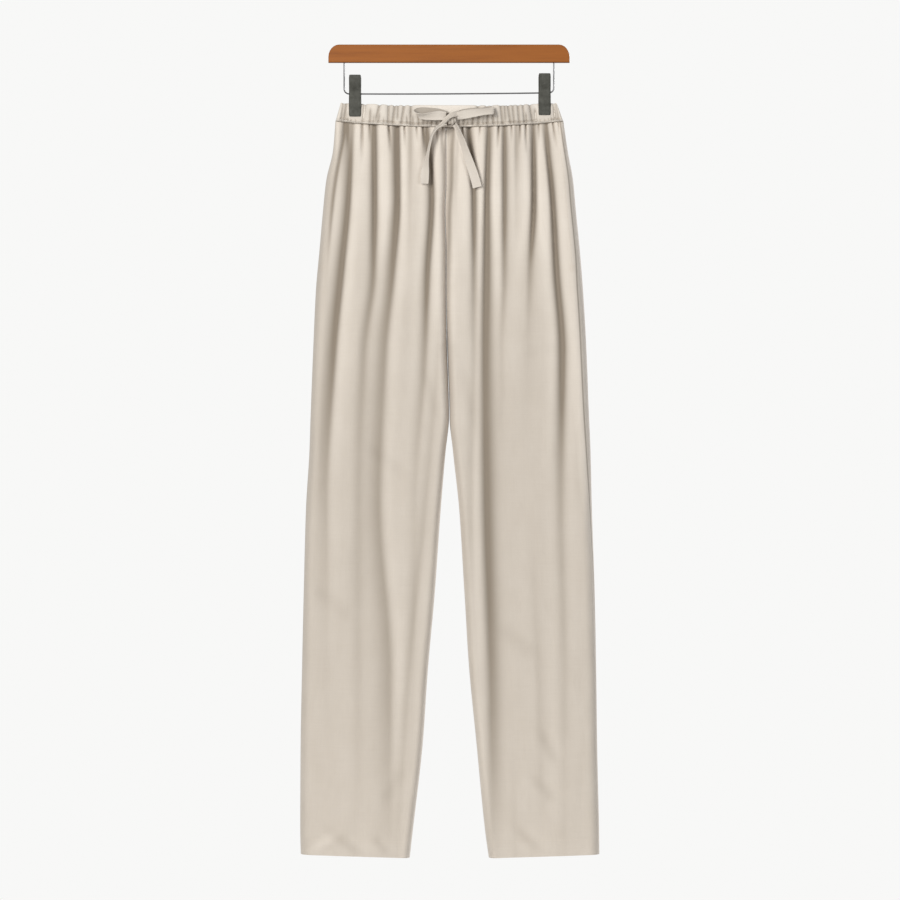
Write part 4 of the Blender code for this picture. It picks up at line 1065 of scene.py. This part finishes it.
for leg in SIDE_SIGN:
    for face in FACING:
        outer, cut = panel_grid(leg, face)
        angle_at = np.zeros(outer.shape)
        angle_at[..., 1] = FACING[face]
        first = seam_angle(leg, outer[:, :SIDE_COLUMNS, 2])
        angle = first + (-FACING[face] * math.pi / 2 - first) * np.linspace(0.0, 1.0, SIDE_COLUMNS)
        angle_at[:, :SIDE_COLUMNS, 0] = SIDE_SIGN[leg] * np.cos(angle)
        angle_at[:, :SIDE_COLUMNS, 1] = -np.sin(angle)
        angle_at[:, -3:, 0] = -SIDE_SIGN[leg]
        normals = grid_normals(outer, angle_at)
        normals[:, -1] = (-SIDE_SIGN[leg], 0.0, 0.0)
        seam_normal = angle_at[:, 0] * np.array([1.0, 1.0, 0.0])
        normals[:, 0] = seam_normal / np.linalg.norm(seam_normal, axis=-1, keepdims=True)
        thickness = np.where(outer[..., 2:] < HEM_INNER + HEM_DEPTH, HEM_CLOTH, CLOTH)
        inner = outer - thickness * normals
        cloth_map = grid_map(outer)
        from_seam = np.minimum(
            np.abs(cloth_map[..., 0] - cloth_map[:, :1, 0]), np.abs(cloth_map[..., 0] - cloth_map[:, -1:, 0])
        )
        # Painted shade line along each seam; the folds' painted shade and highlight fade out near the seams.
        seam_line = SEAM_SHADE * bell(from_seam, SEAM_SHADE_WIDTH)
        fold = relief_shade(cloth_map[..., 0], cut) * held(from_seam / EDGE_FADE)
        name = face + "_" + leg
        panel = wall_piece(name + "_cloth", outer, inner, cloth_map, np.maximum(fold, seam_line), leg_linen)
        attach(panel, "root")
        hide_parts(name)

# ---------------------------------------------------------------------------
# Pocket bags
# Two thin cotton pouches hang inside the side seams, open at the pocket mouths. They are cut in one
# with a rounded lower end, and only their faint lower edges show through the fronts.
# ---------------------------------------------------------------------------
POCKET_TOP = -0.140
POCKET_BOTTOM = -0.416
POCKET_CLOTH = 0.0009
POCKET_SPREAD = 0.0007
POCKET_STAND_OFF = 0.0050
POCKET_SETTLE = 0.022
# Reach of the bag from the side seam at shares of its height.
POCKET_OUTLINE = ((0, 0.040), (0.18, 0.058), (0.45, 0.080), (0.72, 0.092), (0.90, 0.086), (1, 0.060))
POCKET_ROWS = 60
POCKET_COLUMNS = 26
POCKET_WAVE = 0.0006
POCKET_WAVE_ACROSS = 0.011
POCKET_WAVE_DOWN = 0.023
POCKET_YARNS = ((0.76, 0.71, 0.64), (0.66, 0.60, 0.52), (0.40, 0.33, 0.26))
pocket_cotton = linen_material("pocket_cotton", *POCKET_YARNS, thread=0.0004, slub=0.15, bump=0.3)

for leg, sign in SIDE_SIGN.items():
    level = np.linspace(0.0, 1.0, POCKET_ROWS)
    reach = smooth_track(level, [row[0] for row in POCKET_OUTLINE], [row[1] for row in POCKET_OUTLINE])
    z = POCKET_TOP + (POCKET_BOTTOM - POCKET_TOP) * level
    angle = seam_angle(leg, z)
    depth = section(z, "front")
    normal = np.stack([sign * depth * np.cos(angle), -SIDE_TURN * np.sin(angle)], axis=-1)
    normal /= np.linalg.norm(normal, axis=-1, keepdims=True)
    seam_x = section(z, leg) - sign * SIDE_TURN * (1.0 - np.cos(angle))
    seam_y = -depth * np.sin(angle) * (angle > 0.0)
    start_x = seam_x - POCKET_STAND_OFF * normal[:, 0]
    start_y = seam_y - POCKET_STAND_OFF * normal[:, 1]
    spread = np.where(level < 1.0, POCKET_SPREAD, SEAM_GAP)[:, None]
    along = np.linspace(0.0, 1.0, POCKET_COLUMNS)[None, :]
    along = np.hstack([along, along[:, ::-1]])
    layer = np.where(np.arange(along.shape[1]) < POCKET_COLUMNS, -1.0, 1.0)[None, :]
    run = along * reach[:, None]
    settle = held(run / POCKET_SETTLE)
    wave = POCKET_WAVE * np.sin(run / POCKET_WAVE_ACROSS + z[:, None] / POCKET_WAVE_DOWN) * settle
    middle_y = start_y[:, None] * (1.0 - settle * settle * (3.0 - 2.0 * settle)) + wave
    height = np.repeat(z[:, None], run.shape[1], axis=1)
    outer = np.stack(
        [start_x[:, None] - sign * run, middle_y + layer * (POCKET_CLOTH + spread / 2), height], axis=-1)
    inner_run = np.minimum(run, reach[:, None] - POCKET_CLOTH)
    inner = np.stack([start_x[:, None] - sign * inner_run, middle_y + layer * spread / 2, height], axis=-1)
    name = "pocket_bag_" + leg
    bag = wall_piece(name + "_cloth", outer, inner, grid_map(outer), np.zeros(run.shape), pocket_cotton)
    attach(bag, "root")
    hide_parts(name)

# ---------------------------------------------------------------------------
# Waistband
# A casing of the same linen folded over wide elastic and joined to the legs by a stitched seam. The
# elastic draws it into fine slanting gathers, and the clips press it flat near its ends.
# ---------------------------------------------------------------------------
WAIST_TOP = -0.0865
WAIST_TOP_RISE = 0.0045
BAND_CLOTH = 0.0028
BAND_DEPTH_TOP = 0.0100
BAND_DEPTH_SEAM = 0.0125
BAND_PINCHED = 0.0036
BAND_PUFF = 0.0012
BAND_TURN = 0.008
BAND_SMOOTHING = 6
BAND_TURN_COLUMNS = 12
BAND_COLUMNS = 600
BAND_ROWS = 30
BAND_ROLL_ROWS = 7
BAND_ENDS_TOP = (-0.1535, 0.1500)
BAND_ENDS_SEAM = (-0.1605, 0.1590)
PINCH_LEVEL = 0.7
SEAM_WELT = 0.0025
SEAM_WELT_LEVEL = 0.955
SEAM_WELT_HALF = 0.042
WELT_WANDER = 0.014
WELT_SHORT_WAVE = 0.0047
WELT_LONG_WAVE = 0.0113
WELT_LONG_SHARE = 0.8
SEAM_GROOVE = 0.0010
SEAM_GROOVE_LEVEL = 0.84
SEAM_GROOVE_HALF = 0.05
GATHER_FADE = 0.25
GATHER_SWELL = 0.4
GATHER_SWELL_SPREAD = 3.2
GATHER_SHARE = 1.2
# Where the clips' jaws press the gathers flat: half width, and how far it fades on either side.
CLIP_GRIP = (0.0075, 0.003)
GRIP_PRESS = 0.9
GROOVE_DEEPENS = 0.5
WELT_SMOOTHS = 0.75
WELT_PRESSED = 0.4
GRIP_LEVEL = 0.72
GRIP_SHADE = 0.3
TOP_WAVE = 0.65
# Gathers: distance from the middle at the top edge and at the seam, depth and half width, in
# millimetres, and for a short one the levels where it starts and ends (0 the top edge, 1 the seam).
GATHERS = {
    "front": (
        (-150, -152.5, 1.6, 1.2), (-145.5, -148, 1.7, 1.1), (-141.6, -143.5, 1.5, 1, 0.3, 1),
        (-123.6, -127, 1.4, 1, 0, 0.8), (-138, -138.6, 1.7, 1.1, 0.5, 1),
        (-131, -132.2, 1.5, 1, 0.6, 1), (-119.7, -123.2, 1.7, 1.3), (-112, -112.5, 1.6, 1.1, 0.1, 1),
        (-106, -107.5, 0.9, 0.9, 0.4, 1), (-99, -105, 1.9, 1.2, 0, 0.9), (-97.5, -101, 1.4, 1, 0.3, 1),
        (-86, -86.5, 1.8, 1.3), (-91.5, -93, 0.8, 0.9, 0.5, 1), (-77.4, -80.6, 1.9, 1.2),
        (-72.8, -73.6, 1.4, 1, 0, 0.8), (-64.4, -68.6, 1.8, 1.2), (-61.6, -59.4, 1.2, 0.9, 0.35, 1),
        (-54.6, -54.8, 1.8, 1.2), (-51.8, -52, 1.3, 0.9, 0.4, 1), (-43.4, -43.6, 1.7, 1.2, 0.2, 1),
        (-36.4, -37, 1.9, 1.2, 0.1, 1), (-31, -31.5, 1.4, 1, 0.5, 1), (-25.2, -25.6, 1.8, 1.1, 0.3, 1),
        (-18.5, -18, 1.5, 1, 0.5, 1), (-11, -11.6, 1.7, 1.1, 0.3, 1), (-4, -3.5, 1.5, 1, 0.2, 1),
        (4.5, 4.8, 1.6, 1.1, 0.3, 1), (11.5, 12.4, 1.5, 1, 0.4, 1), (18.5, 18.9, 1.8, 1.1, 0.4, 1),
        (24, 24.6, 1.4, 0.9, 0.6, 1), (31, 31.6, 1.8, 1.1, 0.3, 1), (39.2, 39.5, 1.8, 1.2),
        (45.5, 46.6, 1, 0.9, 0.4, 1), (51.8, 52.6, 1.9, 1.2), (57.4, 61.6, 1.8, 1.1),
        (65.8, 67.2, 1.1, 0.9, 0.3, 1), (71.4, 74.2, 1.9, 1.2), (76.6, 78.4, 1.4, 1, 0, 0.9),
        (81.2, 85.4, 1.8, 1.1), (87.8, 90.4, 1.6, 1.1), (95.2, 97.4, 1.8, 1.2), (102.2, 105, 1.6, 1.1),
        (106.4, 107.8, 1.2, 0.9, 0.3, 1), (112, 116.6, 1.8, 1.2), (118.6, 121.4, 1.6, 1, 0.1, 1),
        (149.6, 152.2, 1.6, 1.1), (145.4, 147.6, 1.7, 1.1), (141, 142.6, 1.4, 1, 0.2, 1),
        (125.4, 127, 1.6, 1, 0.2, 1), (132, 133.4, 1.6, 1.1, 0.6, 1), (137.6, 138.4, 1.4, 1, 0.6, 1),
    ),
    "back": (
        (-148, -151, 1.4, 1.2), (-143, -144, 1, 1, 0.3, 1), (-118, -121, 1.7, 1.2),
        (-111, -112, 1.4, 1, 0.2, 1), (-104, -107, 1.8, 1.2), (-97, -98, 1.3, 1, 0, 0.8),
        (-90, -93, 1.8, 1.2), (-83, -84, 1.5, 1, 0.2, 1), (-76, -79, 1.9, 1.2),
        (-69, -70, 1.1, 0.9, 0.3, 1), (-62, -64, 1.8, 1.2), (-56, -55, 1.4, 1, 0.1, 1),
        (-48, -50, 1.8, 1.2), (-41, -42, 1.2, 0.9, 0.3, 1), (-34, -36, 1.9, 1.2),
        (-27, -27, 1.4, 1, 0, 0.9), (-19, -21, 1.7, 1.2), (-12, -12, 1.3, 1, 0.2, 1),
        (-5, -6, 1.8, 1.2), (2, 3, 1.5, 1, 0.1, 1), (9, 9, 1.8, 1.2), (16, 18, 1.3, 0.9, 0.3, 1),
        (23, 24, 1.8, 1.2), (30, 31, 1.4, 1, 0.2, 1), (37, 39, 1.9, 1.2), (45, 45, 1.2, 0.9, 0, 0.8),
        (52, 54, 1.8, 1.2), (59, 60, 1.4, 1, 0.2, 1), (66, 69, 1.8, 1.2), (74, 75, 1.5, 1, 0.1, 1),
        (81, 84, 1.9, 1.2), (89, 89, 1.1, 0.9, 0.3, 1), (96, 98, 1.8, 1.2), (103, 106, 1.5, 1),
        (111, 113, 1.8, 1.2), (118, 121, 1.3, 1, 0.2, 1), (146, 148, 1.3, 1.1),
        (151, 153, 1, 0.9, 0.3, 1),
    ),
}
# Painted shade of the casing: in the gathers' hollows, at a smaller share inside, and along its lower outer
# rim.
GATHER_SHADE_DEPTH = 0.0024
GATHER_SHADE = 0.64
RIM_SHADE = 0.6
INSIDE_SHADE_SHARE = 0.3
# Light and dark yarn colours, then the painted shade colour.
BAND_YARNS_AND_SHADE = ((0.835, 0.775, 0.70), (0.71, 0.645, 0.565), (0.28, 0.235, 0.185))
band_linen = linen_material("band_linen", *BAND_YARNS_AND_SHADE, thread=0.0006, slub=0.3, bump=0.5)


def band_cut(x, level, face):
    """Depth of the gathers at x and at a level of the band."""
    cut = np.zeros_like(x)
    for top_x, seam_x, depth, half, *ends in GATHERS[face]:
        start, end = ends or (0.0, 1.0)
        centre = (top_x + (seam_x - top_x) * level) * MM
        fade = held((level - start) / GATHER_FADE + 1.0 * (start == 0.0))
        fade = fade * held((end - level) / GATHER_FADE + 1.0 * (end == 1.0))
        span = (x - centre) / (half * MM)
        sharp = 1.0 / (1.0 + span ** 2)
        swell = GATHER_SWELL / (1.0 + (span / GATHER_SWELL_SPREAD) ** 2)
        cut += depth * MM * fade * (sharp + swell)
    return cut


def band_outer(x, level, face):
    """How far the casing stands out from the middle plane, its height, and the cut of its gathers."""
    left = BAND_ENDS_TOP[0] + (BAND_ENDS_SEAM[0] - BAND_ENDS_TOP[0]) * level
    right = BAND_ENDS_TOP[1] + (BAND_ENDS_SEAM[1] - BAND_ENDS_TOP[1]) * level
    side = quarter_turn(np.minimum(x - left, right - x), BAND_TURN)
    pinch = near_clips(x, *CLIP_PINCH)
    depth = BAND_DEPTH_TOP + (BAND_DEPTH_SEAM - BAND_DEPTH_TOP) * level
    release = (1.0 - SEAM_PINCH) * held((level - PINCH_LEVEL) / (1.0 - PINCH_LEVEL))
    depth = depth + (BAND_PINCHED - depth) * pinch * (1.0 - release)
    puff = BAND_PUFF * np.sin(math.pi * held(level)) * (1.0 - pinch)
    free = held((level - GRIP_LEVEL) / (1.0 - GRIP_LEVEL))
    cut = band_cut(x, level, face) * side * (1.0 - GRIP_PRESS * near_clips(x, *CLIP_GRIP) * (1.0 - free))
    waves = np.sin(x / WELT_SHORT_WAVE + FACING[face]) + WELT_LONG_SHARE * np.sin(x / WELT_LONG_WAVE)
    wander = WELT_WANDER * waves
    on_welt = bell(level - SEAM_WELT_LEVEL - wander, SEAM_WELT_HALF)
    in_groove = bell(level - SEAM_GROOVE_LEVEL - wander, SEAM_GROOVE_HALF)
    cut = cut * (1.0 + GROOVE_DEEPENS * in_groove) * (1.0 - WELT_SMOOTHS * on_welt)
    welt = (SEAM_WELT * on_welt - SEAM_GROOVE * in_groove) * (1.0 - WELT_PRESSED * pinch)
    out = np.maximum((depth + puff) * side - GATHER_SHARE * cut + welt * side, 0.0) + 0.5 * SEAM_GAP
    top = WAIST_TOP + WAIST_TOP_RISE * (x / WAIST_HALF) ** 2
    top = top - TOP_WAVE * band_cut(x, np.zeros_like(x), face)
    z = top + (waist_seam_height(x) - top) * level
    return out, z, cut


for face, facing in FACING.items():
    level = np.linspace(1.0, 0.0, BAND_ROWS)[:, None]
    ends = [a + (b - a) * level for a, b in zip(BAND_ENDS_TOP, BAND_ENDS_SEAM)]
    turn = np.linspace(0.0, math.pi / 2, BAND_TURN_COLUMNS)
    run = BAND_TURN * (1.0 - np.cos(turn))[None, :]
    share = np.linspace(0.0, 1.0, BAND_COLUMNS)[None, 1:-1]
    middle = (ends[0] + BAND_TURN) + (ends[1] - ends[0] - 2.0 * BAND_TURN) * share
    x = np.hstack([ends[0] + run, middle, ends[1] - run[:, ::-1]])
    out, z, cut = band_outer(x, np.repeat(level, x.shape[1], axis=1), face)
    outer = np.stack([x, facing * out, z], axis=-1)
    outward = np.zeros(outer.shape)
    outward[..., 1] = facing
    outward[:, 0] = (-1.0, 0.0, 0.0)
    outward[:, -1] = (1.0, 0.0, 0.0)
    normals = grid_normals(outer, outward)
    normals[:, 0] = (-1.0, 0.0, 0.0)
    normals[:, -1] = (1.0, 0.0, 0.0)
    normals[..., 2] = 0.0
    normals /= np.linalg.norm(normals, axis=-1, keepdims=True)
    smooth_normals = normals.copy()
    for _ in range(BAND_SMOOTHING):
        before, after = smooth_normals[:, :-2], smooth_normals[:, 2:]
        smooth_normals[:, 1:-1] = (before + smooth_normals[:, 1:-1] + after) / 3.0
    smooth_normals /= np.linalg.norm(smooth_normals, axis=-1, keepdims=True)
    inner = outer - BAND_CLOTH * smooth_normals
    roll = [outer]
    for step in range(1, BAND_ROLL_ROWS):
        around = math.pi * step / BAND_ROLL_ROWS
        radius = BAND_CLOTH / 2
        ring = outer[-1:] - radius * (1.0 - math.cos(around)) * smooth_normals[-1:]
        ring[..., 2] += radius * math.sin(around)
        roll.append(ring)
    casing = np.concatenate(roll + [inner[::-1]])
    # Painted shade follows the gathers' cut round the roll, at a smaller share on the inside.
    gather_shade_cut = np.concatenate([cut] + [cut[-1:]] * (BAND_ROLL_ROWS - 1) + [INSIDE_SHADE_SHARE * cut[::-1]])
    rows, columns = casing.shape[:2]
    faces = grid_faces(rows, columns, round_rows=True).tolist()
    faces.append([row * columns for row in range(rows)])
    faces.append([row * columns + columns - 1 for row in range(rows)][::-1])
    u, v = run_lengths(casing, 1), run_lengths(casing, 0)
    # Painted shade in the gathers, along the lower outer rim, and where the clips grip the casing.
    fold = GATHER_SHADE * held(gather_shade_cut / GATHER_SHADE_DEPTH)
    fold[0] = RIM_SHADE
    fold = np.maximum(fold, GRIP_SHADE * near_clips(casing[..., 0], *CLIP_GRIP))
    placed = casing.reshape(-1, 3) + np.array([GARMENT_X, 0.0, 0.0])
    name = "waistband_" + face
    cloth_map = np.stack([u, v], axis=-1).reshape(-1, 2)
    band = mesh_piece(name + "_casing", placed.tolist(), faces, cloth_map, fold.ravel(), band_linen)
    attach(band, "root")
    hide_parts(name)

# ---------------------------------------------------------------------------
# Stitching
# Matching thread: lock stitches along the waistband's seam and the hems, beside the side seams at
# the pocket mouths, and short bar tacks at the lower ends of the mouths.
# ---------------------------------------------------------------------------
STITCH_PITCH = 0.0032
STITCH_LENGTH = 0.0024
THREAD = 0.00042
STITCH_LEAST = (0.85, 0.85, 0.82)
STITCH_MOST = (1.15, 1.15, 1.06)
STITCH_PROUD = 0.0001
WAIST_STITCH_LEVEL = 0.905
WAIST_STITCH_ENDS = (-0.1560, 0.1545)
HEM_STITCH_ENDS = (0.066, 0.196)
HEM_STITCH_DROP = 0.0025
MOUTH_FROM_SEAM = 0.0062
MOUTH_TOP = -0.150
MOUTH_END = -0.306
TACK_TOP = -0.309
TACK_HEIGHT = 0.009
TACK_PITCH = 0.0012
TACK_REACH = (0.0022, 0.0085)
WAIST_SAMPLES = 620
HEM_SAMPLES = 160
MOUTH_SAMPLES = 90
TACK_SAMPLES = 8
STITCH_SEED = 5
THREAD_LIGHT = (0.80, 0.73, 0.64, 1.0)
THREAD_DARK = (0.52, 0.44, 0.35, 1.0)


def build_stitch_tree():
    """Short rounded stitches laid end to end along a line of points."""
    tree, start, finish = new_tree(
        "stitch_line", "GeometryNodeTree",
        {"Geometry": ("Geometry",), "Pitch": ("Float", 0.003), "Length": ("Float", 0.0024),
         "Thread": ("Float", 0.0004), "Seed": ("Int", 1), "Yarn": ("Material",)},
        {"Geometry": ("Geometry",)},
    )
    given = start.outputs
    line = add_node(tree, "GeometryNodeMeshToCurve", {"Mesh": given["Geometry"]})
    spots = add_node(tree, "GeometryNodeCurveToPoints", mode="LENGTH")
    set_inputs(tree, spots, {"Curve": line.outputs["Curve"], "Length": given["Pitch"]})
    stitch = add_node(tree, "GeometryNodeMeshUVSphere", {"Segments": 6, "Rings": 5, "Radius": 0.5})
    shape = add_node(tree, "ShaderNodeCombineXYZ", {
        0: given["Thread"], 1: given["Thread"], 2: given["Length"]})
    shaped = add_node(tree, "GeometryNodeTransform", {
        "Geometry": stitch.outputs["Mesh"], "Scale": shape.outputs[0]})
    uneven = add_node(tree, "FunctionNodeRandomValue", data_type="FLOAT_VECTOR")
    set_inputs(tree, uneven, {0: STITCH_LEAST, 1: STITCH_MOST, "Seed": given["Seed"]})
    place = add_node(tree, "GeometryNodeInstanceOnPoints", {
        "Points": spots.outputs["Points"], "Instance": shaped.outputs["Geometry"],
        "Rotation": spots.outputs["Rotation"], "Scale": uneven.outputs["Value"]})
    return finish_tree(tree, place.outputs["Instances"], finish, given["Yarn"])


thread, tree, shader = new_finish("sewing_thread")
twist = object_noise(tree, (2200.0, 2200.0, 2200.0), 1.0)
set_inputs(tree, shader, {
    "Base Color": ramp(tree, twist, ((0.3, THREAD_DARK), (0.7, THREAD_LIGHT))),
    "Roughness": scaled(tree, twist, 0.2, 0.5), "Sheen Weight": 0.2})
stitch_tree = build_stitch_tree()


def sew(name, lines):
    """Stitches along several lines of points, as one piece."""
    guide = bpy.data.meshes.new(name + "_guide")
    points, edges = [], []
    for line in lines:
        first = len(points)
        points += [(p[0] + GARMENT_X, p[1], p[2]) for p in line]
        edges += [(k, k + 1) for k in range(first, len(points) - 1)]
    guide.from_pydata(points, edges, [])
    piece = grow(
        name, guide, stitch_tree, pitch=STITCH_PITCH, length=STITCH_LENGTH, thread=THREAD,
        seed=STITCH_SEED, yarn=thread,
    )
    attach(piece, "root")
    return piece


def band_line(face, level, first, last, samples):
    """Points on the casing's outside at one level."""
    x = np.linspace(first, last, samples)
    out, z, _ = band_outer(x, np.full_like(x, level), face)
    return np.stack([x, FACING[face] * (out + STITCH_PROUD), z], axis=-1)


def panel_line(leg, face, x, z):
    """Points on the outside of a leg panel."""
    out, _ = stand_out(x, z, leg, face)
    return np.stack([x, FACING[face] * (out + STITCH_PROUD), z], axis=-1)


def side_seam_x(leg, z):
    return section(z, leg) - SIDE_SIGN[leg] * section(z, "inset") * (leg == "right")


for face in FACING:
    seam_line = band_line(face, WAIST_STITCH_LEVEL, *WAIST_STITCH_ENDS, WAIST_SAMPLES)
    sew("waist_seam_stitches_" + face, [seam_line])
for leg, sign in SIDE_SIGN.items():
    hem_lines = []
    for face in FACING:
        far = sign * np.linspace(*HEM_STITCH_ENDS, HEM_SAMPLES)
        hem_top = hem_height(far) + HEM_DEPTH
        hem_lines.append(panel_line(leg, face, far, hem_top - HEM_STITCH_DROP))
    sew("hem_stitches_" + leg, hem_lines)
    mouth_z = np.linspace(MOUTH_TOP, MOUTH_END, MOUTH_SAMPLES)
    mouth_x = side_seam_x(leg, mouth_z) - sign * MOUTH_FROM_SEAM
    tack_lines = []
    for drop in np.arange(0.0, TACK_HEIGHT, TACK_PITCH):
        tack_x = np.linspace(*TACK_REACH, TACK_SAMPLES)
        tack_z = np.full_like(tack_x, TACK_TOP - drop)
        tack_lines.append(panel_line(leg, "front", side_seam_x(leg, tack_z) - sign * tack_x, tack_z))
    sew("pocket_stitches_" + leg, [panel_line(leg, "front", mouth_x, mouth_z)] + tack_lines)
